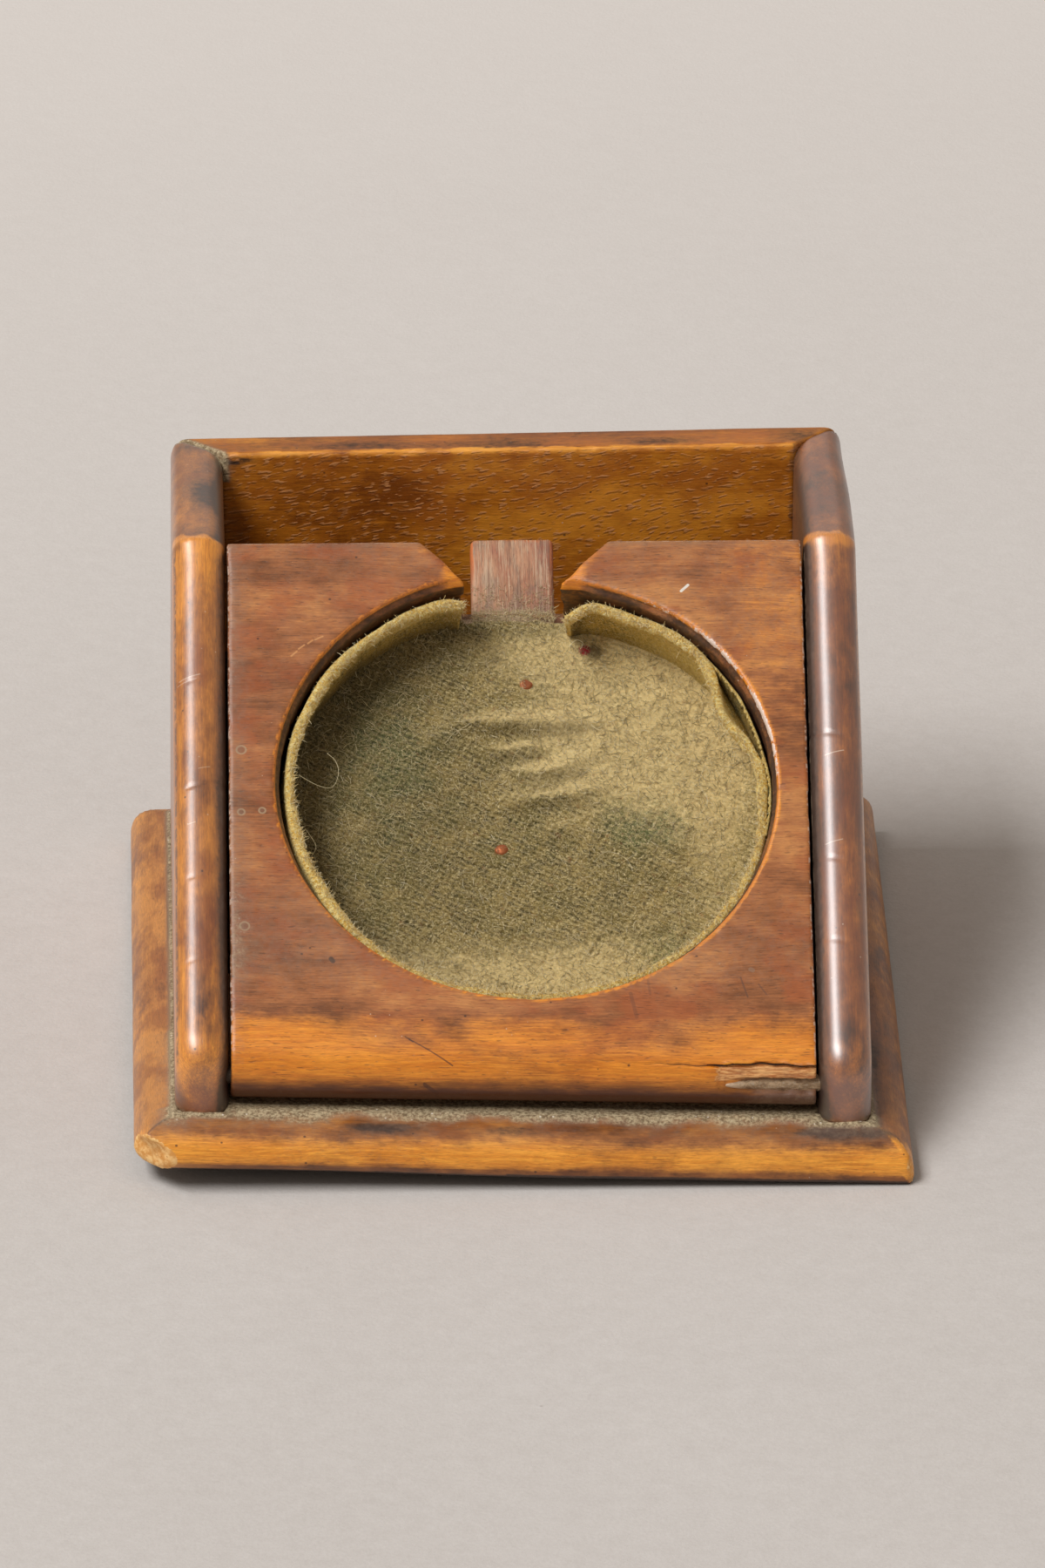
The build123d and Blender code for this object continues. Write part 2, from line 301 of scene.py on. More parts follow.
class Graph:
    def __init__(self, name):
        self.mat = bpy.data.materials.new(name)
        self.mat.use_nodes = True
        self.nt = self.mat.node_tree
        self.nt.nodes.clear()
        self.out = self.nt.nodes.new("ShaderNodeOutputMaterial")
        self.bsdf = self.nt.nodes.new("ShaderNodeBsdfPrincipled")
        self.nt.links.new(self.bsdf.outputs[0], self.out.inputs[0])

    def put(self, node, socket, value):
        s = node.inputs[socket]
        if isinstance(value, bpy.types.NodeSocket):
            self.nt.links.new(value, s)
        elif value is not None:
            s.default_value = value

    def attr(self, name, what="Fac"):
        n = self.nt.nodes.new("ShaderNodeAttribute")
        n.attribute_name = name
        return n.outputs[what]

    def math(self, op, a, b=None, c=None, clamp=False):
        n = self.nt.nodes.new("ShaderNodeMath")
        n.operation = op
        n.use_clamp = clamp
        for i, v in enumerate((a, b, c)):
            if v is not None:
                self.put(n, i, v)
        return n.outputs[0]

    def vec(self, op, a, b=None, scale=None):
        n = self.nt.nodes.new("ShaderNodeVectorMath")
        n.operation = op
        self.put(n, 0, a)
        if b is not None:
            self.put(n, 1, b)
        if scale is not None:
            self.put(n, 3, scale)
        return n.outputs[1] if op in ("LENGTH", "DISTANCE", "DOT_PRODUCT") else n.outputs[0]

    def noise(self, vector, scale=1.0, detail=2.0, rough=0.5, distort=0.0, kind="FBM", lac=2.0):
        n = self.nt.nodes.new("ShaderNodeTexNoise")
        n.noise_dimensions = "3D"
        n.noise_type = kind
        self.put(n, "Vector", vector)
        self.put(n, "Scale", scale)
        self.put(n, "Detail", detail)
        self.put(n, "Roughness", rough)
        self.put(n, "Distortion", distort)
        self.put(n, "Lacunarity", lac)
        return n.outputs[0]

    def voronoi(self, vector, scale=1.0, feature="F1", out=0, rand=1.0):
        n = self.nt.nodes.new("ShaderNodeTexVoronoi")
        n.feature = feature
        self.put(n, "Vector", vector)
        self.put(n, "Scale", scale)
        self.put(n, "Randomness", rand)
        return n.outputs[out]

    def remap(self, value, a, b, c=0.0, d=1.0, kind="SMOOTHSTEP"):
        n = self.nt.nodes.new("ShaderNodeMapRange")
        n.interpolation_type = kind
        n.clamp = True
        self.put(n, "Value", value)
        self.put(n, "From Min", a)
        self.put(n, "From Max", b)
        self.put(n, "To Min", c)
        self.put(n, "To Max", d)
        return n.outputs[0]

    def mix(self, fac, a, b, mode="MIX"):
        n = self.nt.nodes.new("ShaderNodeMix")
        n.data_type = "RGBA"
        n.blend_type = mode
        n.clamp_factor = True
        self.put(n, 0, fac)
        self.put(n, 6, a)
        self.put(n, 7, b)
        return n.outputs[2]

    def fmix(self, fac, a, b):
        n = self.nt.nodes.new("ShaderNodeMix")
        n.data_type = "FLOAT"
        n.clamp_factor = True
        self.put(n, 0, fac)
        self.put(n, 2, a)
        self.put(n, 3, b)
        return n.outputs[0]

    def ramp(self, fac, stops):
        n = self.nt.nodes.new("ShaderNodeValToRGB")
        e = n.color_ramp.elements
        e[0].position, e[0].color = stops[0]
        e[1].position, e[1].color = stops[-1]
        for pos, col in stops[1:-1]:
            x = e.new(pos)
            x.color = col
        self.put(n, 0, fac)
        return n.outputs[0]

    def bump(self, height, strength, distance, normal=None):
        n = self.nt.nodes.new("ShaderNodeBump")
        self.put(n, "Strength", strength)
        self.put(n, "Distance", distance)
        self.put(n, "Height", height)
        if normal is not None:
            self.put(n, "Normal", normal)
        return n.outputs[0]

    def split(self, v):
        n = self.nt.nodes.new("ShaderNodeSeparateXYZ")
        self.put(n, 0, v)
        return n.outputs[0], n.outputs[1], n.outputs[2]

    def join(self, a, b, c=0.0):
        n = self.nt.nodes.new("ShaderNodeCombineXYZ")
        for i, v in enumerate((a, b, c)):
            self.put(n, i, v)
        return n.outputs[0]

    def grain(self, v, scale, detail=3.0, rough=0.6):
        return self.noise(self.vec("MULTIPLY", v, scale), 1.0, detail, rough)

    def add(self, *terms):
        """Sum of sockets, of (socket, centre, weight) and of numbers."""
        total = None
        for t in terms:
            if isinstance(t, tuple):
                t = self.math("MULTIPLY", self.math("SUBTRACT", t[0], t[1]), t[2])
            total = t if total is None else self.math("ADD", total, t)
        return total

    def seg(self, p, ax, ay, bx, by, width, soft=0.05):
        """1 within width of the line from a to b in the first two coordinates of p, else 0."""
        ex, ey = bx - ax, by - ay
        ll = ex * ex + ey * ey
        w = self.vec("SUBTRACT", p, (ax, ay, 0))
        w = self.vec("MULTIPLY", w, (1, 1, 0))
        t = self.math("DIVIDE", self.vec("DOT_PRODUCT", w, (ex, ey, 0)), ll, clamp=True)
        q = self.nt.nodes.new("ShaderNodeVectorMath")
        q.operation = "SCALE"
        q.inputs[0].default_value = (ex, ey, 0)
        self.nt.links.new(t, q.inputs[3])
        d = self.vec("DISTANCE", w, q.outputs[0])
        return self.remap(d, width, width + soft, 1.0, 0.0)


def wood(
    name,
    tones,
    amber,
    red,
    bare=(232, 184, 118),
    grime=(50, 34, 25),
    gloss=0.42,
    coat=0.15,
    coat_rough=0.30,
    coat_ior=1.5,
    figure=1.0,
    streaks=1.0,
    pores=0.35,
    relief=1.0,
    mottling=1.0,
    dashes=False,
    extra=None,
    seed=0.0,
):
    """Old varnished wood. gco: millimetres with the grain along the first axis."""
    g = Graph(name)
    p = g.attr("gco", "Vector")
    co = g.vec("ADD", p, (seed * 31.7, seed * 17.9, seed * 5.3))
    wear, dark, dust, raw, tone = (g.attr(k) for k in ("wear", "dark", "dust", "bare", "tone"))
    # the grain wanders a little
    wander = g.math("MULTIPLY", g.math("SUBTRACT", g.grain(co, (0.04, 0.09, 0.09), 2.0, 0.5), 0.5), 3.0)
    cg = g.vec("ADD", co, g.join(0.0, wander, 0.0))
    bands = g.grain(cg, (0.035, 0.34, 0.34), 3.0, 0.55)
    streak = g.grain(cg, (0.16, 3.9, 3.9), 4.0, 0.66)
    fine = g.grain(cg, (0.9, 10.0, 10.0), 2.0, 0.6)
    cloud = g.grain(co, (0.07, 0.11, 0.11), 3.0, 0.55)
    mottle = g.grain(co, (0.30, 0.55, 0.55), 4.0, 0.68)
    patch = g.grain(g.vec("ADD", co, (7.0, 3.0, 9.0)), (0.13, 0.20, 0.20), 4.0, 0.62)
    v = g.add((bands, 0.5, 0.70 * figure), (streak, 0.5, 0.50 * streaks), (cloud, 0.5, 0.85 * mottling), (mottle, 0.5, 0.55 * mottling), g.math("MULTIPLY", tone, 0.2))
    v = g.math("ADD", v, 0.5)
    col = g.ramp(v, [(0.27, lin(*tones[0])), (0.50, lin(*tones[1])), (0.73, lin(*tones[2]))])
    col = g.mix(g.remap(patch, 0.45, 0.66, 0.0, 0.65), col, lin(*red))
    # rubbed thin, the finish turns amber; the same channel also carries painted light on some pieces
    w = g.remap(g.add(wear, (mottle, 0.5, 0.9), (streak, 0.5, 0.22)), 0.25, 1.02, 0.0, 1.0)
    amb = g.mix(g.remap(g.add(streak, (cloud, 0.5, 0.6)), 0.30, 0.70), lin(amber[0] * 0.88, amber[1] * 0.80, amber[2] * 0.66), lin(*amber))
    col = g.mix(w, col, amb)
    k = g.remap(fine, 0.28, 0.72, 0.80, 1.15, "LINEAR")
    shade = g.nt.nodes.new("ShaderNodeCombineColor")
    for i in range(3):
        g.nt.links.new(k, shade.inputs[i])
    col = g.mix(1.0, col, shade.outputs[0], "MULTIPLY")
    height = g.add((fine, 0.5, 0.35), (streak, 0.5, 0.30))
    if dashes:
        # open pores: pale dashes that rise a little to the right, each with its own shadow
        tilt = g.join(g.split(cg)[0], g.add(g.split(cg)[1], g.math("MULTIPLY", g.split(cg)[0], -0.14)), g.split(cg)[2])
        a = g.grain(tilt, (0.85, 3.0, 0.5), 1.5, 0.5)
        b = g.grain(g.vec("ADD", tilt, (0.10, 0.19, 0.0)), (0.85, 3.0, 0.5), 1.5, 0.5)
        gate = g.grain(co, (0.5, 0.9, 0.9), 2.0, 0.5)
        light = g.math("MULTIPLY", g.remap(a, 0.575, 0.65, 0.0, 0.9), g.remap(gate, 0.36, 0.58, 0.30, 0.95))
        below = g.remap(b, 0.57, 0.66, 0.0, pores * 0.7)
        flat_ = g.math("SUBTRACT", 1.0, g.attr("plain"))
        light, below = g.math("MULTIPLY", light, flat_), g.math("MULTIPLY", below, flat_)
        col = g.mix(below, col, lin(88, 44, 10))
        col = g.mix(light, col, lin(226, 158, 98))
        height = g.add(height, g.math("MULTIPLY", below, -1.2), g.math("MULTIPLY", light, 0.6))
    else:
        pn = g.grain(cg, (0.9, 7.5, 7.5), 1.0, 0.5)
        pm = g.remap(pn, 0.63, 0.73, 0.0, pores)
        col = g.mix(pm, col, lin(*[c * 0.45 for c in tones[0]]))
        height = g.add(height, g.math("MULTIPLY", pm, -0.9))
    # dirt, and painted shade where a piece puts it into this channel: grey-brown where thin, nearly black where thick
    gr = g.remap(g.add(dark, (mottle, 0.5, 0.65), (g.grain(co, (1.1, 1.8, 1.8), 3.0, 0.65), 0.5, 0.6)), 0.28, 1.0, 0.0, 0.94)
    col = g.mix(gr, col, g.mix(g.remap(gr, 0.25, 0.85), lin(98, 68, 46), lin(*grime)))
    spot = g.voronoi(g.vec("MULTIPLY", co, (0.34, 0.40, 0.40)), 1.0)
    col = g.mix(g.remap(spot, 0.035, 0.065, 0.75, 0.0), col, lin(40, 24, 18))
    mote = g.voronoi(g.vec("ADD", g.vec("MULTIPLY", co, (0.50, 0.50, 0.50)), (5.0, 2.0, 8.0)), 1.0)
    col = g.mix(g.math("MULTIPLY", g.remap(mote, 0.030, 0.050, 1.0, 0.0), g.remap(cloud, 0.45, 0.60, 0.1, 0.6)), col, lin(226, 206, 182))
    # raw wood where it has broken or chipped
    rm = g.remap(g.add(raw, (g.grain(co, (0.9, 1.6, 1.6), 3.0, 0.6), 0.5, 0.6)), 0.42, 0.60, 0.0, 1.0)
    rawc = g.mix(g.remap(g.grain(co, (0.7, 1.4, 1.4), 3.0, 0.65), 0.34, 0.66), lin(bare[0] * 0.86, bare[1] * 0.74, bare[2] * 0.56), lin(*bare))
    rawc = g.mix(g.remap(g.grain(co, (1.6, 2.2, 2.2), 2.0, 0.6), 0.64, 0.74, 0.0, 0.5), rawc, lin(150, 84, 36))
    col = g.mix(rm, col, rawc)
    rough = g.add((cloud, 0.5, 0.22), (mottle, 0.5, 0.14), g.math("MULTIPLY", gr, 0.22))
    rough = g.math("ADD", rough, gloss)
    if extra is not None:
        col, rough, height = extra(g, p, col, rough, height)
    # dust, from a thin beige haze to a layer
    dn = g.add(dust, (g.grain(co, (1.3, 1.3, 1.3), 5.0, 0.75), 0.5, 0.8))
    col = g.mix(g.remap(dn, 0.08, 0.55, 0.0, 0.42), col, lin(140, 114, 96))
    dm = g.remap(dn, 0.38, 1.05, 0.0, 0.94)
    dcol = g.mix(g.remap(g.noise(co, 2.4, 3.0, 0.7), 0.34, 0.66), lin(116, 98, 70), lin(202, 184, 148))
    crumb = g.voronoi(g.vec("MULTIPLY", co, (0.9, 0.9, 0.9)), 1.0)
    dcol = g.mix(g.remap(crumb, 0.07, 0.12, 0.9, 0.0), dcol, lin(238, 228, 212))
    col = g.mix(dm, col, dcol)
    rough = g.fmix(g.math("MAXIMUM", dm, rm), rough, 0.92)
    height = g.add(height, g.math("MULTIPLY", g.math("MULTIPLY", g.noise(co, 4.5, 3.0, 0.7), dm), 1.6))
    g.put(g.bsdf, "Base Color", col)
    g.put(g.bsdf, "Roughness", g.math("MINIMUM", g.math("MAXIMUM", rough, 0.12), 0.95))
    g.bsdf.inputs["Specular IOR Level"].default_value = 0.5
    g.bsdf.inputs["Coat Weight"].default_value = coat
    g.bsdf.inputs["Coat Roughness"].default_value = coat_rough
    g.bsdf.inputs["Coat IOR"].default_value = coat_ior
    nrm = g.bump(g.grain(co, (0.20, 0.35, 0.35), 2.0, 0.5), 0.25 * relief, 0.0003)
    nrm = g.bump(height, 0.55 * relief, 0.00008, nrm)
    g.put(g.bsdf, "Normal", nrm)
    return g.mat


# ------------------------------------------------------------------ outlines of the wooden pieces
Y_CREST = Y0 + (50.3 - Z0) / math.tan(BETA)
PANEL_PTS = [(65.8, -1.2)]


def sn_of(y, z):
    y, z = y - Y0, z - Z0
    return (y * CB + z * SB, -y * SB + z * CB)


s_nose = (-41.2 - Y0 + (-1.2) * SB) / CB
z_nose = Z0 + s_nose * SB + (-1.2) * CB
s_heel = (6.0 - Z0 + 10.7 * CB) / SB
PANEL_OUT = fillet_poly(
    [(65.8, -1.2), sn_of(-41.2, z_nose), sn_of(-41.2, 6.28), (s_heel, -10.7), (65.8, -10.7)],
    [0.45, 5.0, 1.7, 0.8, 0.6],
    9,
)
CHEEK_OUT = fillet_poly(
    [(42.2, -3.0), (42.2, 50.3), (Y_CREST, 50.3), (Y0, Z0), (Y0, -3.0)],
    [0.0, 0.0, 1.2, 5.0, 0.0],
    9,
)
NOTCH = np.array([(-14.2, 69.6), (-5.45, 61.05), (-5.15, 60.6), (-5.15, 34.0), (4.75, 34.0), (4.75, 60.35), (14.2, 69.6)])
HOLE = (0.8, 35.2, 27.0)
ZC = 11.0                     # height of the split in the front of the panel


def hole_edge(x, s):
    """The opening is a circle, a little flattened between its two horns."""
    th = np.degrees(np.arctan2(x - HOLE[0], s - HOLE[1]))
    return HOLE[2] - 1.0 * np.exp(-(((th - 14) / 24) ** 2)) - 0.5 * np.exp(-(((th - 7) / 5) ** 2)) - 0.25 * np.exp(-(((th + 13) / 5) ** 2))


def wear_tip(x, s):
    """1 at the two horns of the notch, falling to 0 some millimetres away."""
    d = np.minimum(np.hypot(x + 5.6, (s - 60.9) * 1.25), np.hypot(x - 5.2, (s - 60.7) * 1.25))
    return 1 - smooth(0.6, 4.2, d)


def split_line(x):
    return ZC + 0.10 * np.sin(x * 0.55) + 0.05 * np.sin(x * 2.3)


def ledge_line(x):
    """Lower edge of the splinter that hangs over the nail."""
    return 9.74 + 0.10 * noise(x * 0.9, 0 * x, 0 * x, 74) + 0.05 * noise(x * 2.6, 0 * x, 0 * x, 75) + 0.8 * smooth(22.2, 20.6, x)


def gouge(x, y, z):
    """How much wood is broken away at the lower right of the panel."""
    front = y < -37.5
    pit = (0.30 + 0.70 * smooth(21.2, 27.0, x)) * (1 + 0.15 * noise(x * 0.9, z * 2.5, 0 * x, 71)) * smooth(20.6, 21.8, x)
    pit = pit * (1 - smooth(-0.22, 0.04, z - ledge_line(x))) * smooth(7.75, 8.75, z + 0.06 * noise(x * 0.9, 0 * x, 0 * x, 76))
    face = 0.16 * smooth(20.4, 21.0, x) * (1 - smooth(-0.10, 0.02, z - split_line(x))) * smooth(8.1, 8.6, z)
    fibre = 0.10 * np.clip(noise(x * 0.5, z * 5.0, 0 * x, 77), 0, 1) * smooth(21, 22, x) * (z < split_line(x)) * (z > 8.4)
    return np.maximum(pit, face + fibre) * front


def f_panel(x, s, n):
    prof = sd_poly(s, n, PANEL_OUT)
    y = Y0 + s * CB - n * SB
    z = Z0 + s * SB + n * CB
    prof = prof + gouge(x, y, z)
    zc = split_line(x)
    crack = np.abs(z - zc)
    wide = 0.05 + 0.12 * smooth(18.5, 21.0, x)
    front = y < -38.4
    prof = prof + (0.14 + 0.30 * smooth(18, 21, x)) * (1 - smooth(wide * 0.6, wide + 0.10, crack)) * smooth(10.0, 16.0, x) * front
    lip = smooth(20.9, 21.8, x) * smooth(25.0, 24.0, x) + smooth(26.8, 28.2, x)
    prof = prof - 0.16 * lip * smooth(0.06, 0.16, z - zc) * smooth(0.75, 0.25, z - zc) * front
    side = np.abs(x) - 31.17
    d = rint(prof, side, 0.30)
    # the wall swells inwards just below the rim
    ledge = 0.45 * smooth(-1.55, -2.5, n) * smooth(-5.4, -3.6, n)
    hole = hole_edge(x, s) - ledge - np.hypot(x - HOLE[0], s - HOLE[1])
    notch = -sd_poly(x, s, NOTCH)
    opening = rint(hole, notch, 0.35)
    r = 0.28 + 0.40 * wear_tip(x, s)
    return rint(d, opening, r)


def f_panel_fine(x, s, n):
    face = 0.030 * fbm(x * 0.09, s * 0.12, n * 0.1, 3, 11) + 0.010 * noise(x * 0.7, s * 0.9, n * 0.9, 12)
    rim = np.abs(np.hypot(x - HOLE[0], s - HOLE[1]) - hole_edge(x, s))
    chips = 0.14 * np.clip(noise(x * 1.1, s * 1.1, n * 1.1, 13) - 0.2, 0, 1) * (1 - smooth(0.2, 1.2, rim))
    tips = 0.26 * wear_tip(x, s) * (0.5 + 0.5 * noise(x * 0.6, s * 0.6, n * 0.6, 14))
    end = 0.12 * np.clip(noise(x * 0.8, s * 0.8, n * 0.8, 15) - 0.15, 0, 1) * (1 - smooth(0, 0.9, np.abs(np.abs(x) - 31.17)))
    return f_panel(x, s, n) + face + chips + tips + end


def cheek_reach(side, y):
    """Outer face of a cheek; the right one runs in a little towards the back."""
    return 37.2 - (0.35 * smooth(22.0, 38.0, y) if side > 0 else 0.0)


def f_cheek(side):
    def f(x, y, z):
        a = np.abs(x)
        prof = sd_poly(y, z, CHEEK_OUT)
        out = cheek_reach(side, y)
        mid, half = (31.4 + out) / 2, (out - 31.4) / 2
        slab = np.abs(a - mid) - half
        r = mix(2.75, 2.1, smooth(9.0, 15.0, y))
        d = rint(prof, slab, np.minimum(r, half - 0.05))
        gap = 0.10 if side < 0 else 0.02
        d = rint(d, (y - a - 5.0) / math.sqrt(2) + gap, 0.22)
        d = rint(d, rint(a - out, y - 42.2, 2.2), 0.3)
        return np.maximum(d, 5.0 - z)

    return f


def f_cheek_fine(side):
    base = f_cheek(side)

    def f(x, y, z):
        s = (y - Y0) * CB + (z - Z0) * SB
        d = base(x, y, z) + 0.04 * fbm(x * 0.12, y * 0.07, z * 0.07, 2, 21 + side) + 0.006 * noise(x * 0.9, y * 0.5, z * 0.5, 23 + side)
        # small dents across the sloping edge
        for k, (sx, depth) in enumerate(((34.0, 0.09), (47.5, 0.05), (22.5, 0.06), (12.0, 0.04)) if side < 0 else ((40.5, 0.07), (25.0, 0.06), (15.0, 0.05))):
            d = d + depth * (1 - smooth(0.0, 0.35, np.abs(s - sx + 0.25 * (np.abs(x) - 34.3)))) * (np.abs(x) - 34.3 < 1.5)
        if side < 0:
            # a chip at the outer corner of the foot
            q = (-(x + 37.2) * 0.8 - (y + 42.2) * 0.62 - (z - 5.0) * 0.55) + 1.25
            q = q + 0.18 * noise(x * 1.3, y * 1.3, z * 1.3, 27)
            d = rint(d, q, 0.12)
        return d

    return f


def f_back(x, y, z):
    a = np.abs(x)
    plan = rint(a - np.where(x > 0, cheek_reach(1, y), 37.2), y - 42.2, 2.2)
    d = rint(z - 50.3, plan, 1.45)
    d = rint(d, 36.4 - y, 0.38)
    mitre = (a + 5.0 - y) / math.sqrt(2) + np.where(x < 0, 0.10, 0.02)
    d = rint(d, mitre, 0.15)
    return np.maximum(d, 5.0 - z)


def f_back_fine(x, y, z):
    d = f_back(x, y, z) + 0.04 * fbm(x * 0.07, y * 0.12, z * 0.12, 3, 31) + 0.008 * noise(x * 0.6, y * 0.9, z * 0.9, 32)
    nick = np.clip(noise(x * 0.35, y * 0.0, z * 0.0, 33) - 0.35, 0, 1) * (1 - smooth(0.2, 1.0, np.hypot(y - 36.4, z - 50.3)))
    return d + 0.25 * nick * (a_in(x) > 0)


def a_in(x):
    return (np.abs(x) < 31.0) * 1.0


def foot_distance(x, y):
    """Distance outside the footprint of the two cheeks and the back board."""
    box = np.maximum(np.abs(x) - 37.2, np.abs(y) - 42.2)
    inner = np.maximum(np.abs(x) - 31.4, y - 36.4)
    return np.maximum(box, -inner)


def corner_break(x, y, z):
    """The broken front left corner of the base: negative inside what is left."""
    u = -(x + 41.5) * 0.70 - (y + 46.5) * 0.70 + 2.85 - 1.15 * smooth(2.2, 4.0, z + 0.35 * noise(x * 0.9, y * 0.9, 0 * z, 45))
    return u + 0.20 * noise(x * 0.7, y * 0.7, z * 0.8, 46)


def knock(x, y, z):
    """The chip at the front right corner of the base."""
    return (x - 41.5) * 0.72 - (y + 46.5) * 0.69 + (z - 2.0) * 0.18 + 0.55 + 0.25 * noise(x * 0.9, y * 0.9, z * 1.2, 47)


def f_base(x, y, z):
    plan = rint(np.abs(x) - 41.5, np.abs(y) - 46.5, 0.30)
    d = rint(z - 5.0, plan, 3.9)
    d = rint(d, -z, 0.7 + 1.2 * smooth(8.0, -28.0, x) * smooth(-38.0, -44.0, y))
    d = rint(d, corner_break(x, y, z), 0.22)
    return rint(d, knock(x, y, z), 0.25)


def dust_height(x, y):
    fd = foot_distance(x, y)
    h = 0.50 * (1 - smooth(0.0, 0.95, fd)) * (0.7 + 0.5 * noise(x * 0.4, y * 0.4, 0 * x, 44))
    # heaps in the two corners in front of the panel
    for cx, k in ((30.4, 0.55), (-30.8, 0.35)):
        h = h + k * np.exp(-(((x - cx) / 2.4) ** 2 + ((y + 39.6) / 1.7) ** 2)) * (1 + 0.3 * noise(x * 1.1, y * 1.1, 0 * x, 48))
    # a low drift under the foot of the panel
    drift = smooth(-42.7, -41.5, y + 0.25 * noise(x * 0.35, 0 * x, 0 * x, 49)) * (1 - 0.3 * smooth(-40.6, -38.2, y)) * smooth(-33.0, -36.0, y)
    h = np.maximum(h, 0.42 * drift * smooth(31.6, 30.9, np.abs(x)) * (1 + 0.20 * noise(x * 0.5, y * 0.6, 0 * x, 50)))
    # room for the leaf to swing over
    return np.minimum(h, 0.44 + 0.6 * smooth(30.9, 31.7, np.abs(x)))


def f_base_fine(x, y, z):
    d = f_base(x, y, z) + 0.05 * fbm(x * 0.06, y * 0.06, z * 0.1, 3, 41) + 0.012 * noise(x * 0.7, y * 0.7, z * 0.7, 42)
    near = (1 - smooth(0.0, 0.5, np.abs(corner_break(x, y, z)))) * (x < 0)
    d = d + 0.10 * near * fbm(x * 0.9, y * 0.9, z * 0.9, 2, 43)
    # dust packed along the foot of the walls
    fd = foot_distance(x, y)
    return np.where((fd > -0.2) | (np.abs(x) < 31.4), d - np.where(z > 3.5, dust_height(x, y), 0), d)


def f_box(lo, hi, r):
    c = (np.array(lo) + np.array(hi)) / 2
    e = (np.array(hi) - np.array(lo)) / 2

    def f(x, y, z):
        d = rint(np.abs(x - c[0]) - e[0], np.abs(y - c[1]) - e[1], r)
        return rint(d, np.abs(z - c[2]) - e[2], r)

    return f


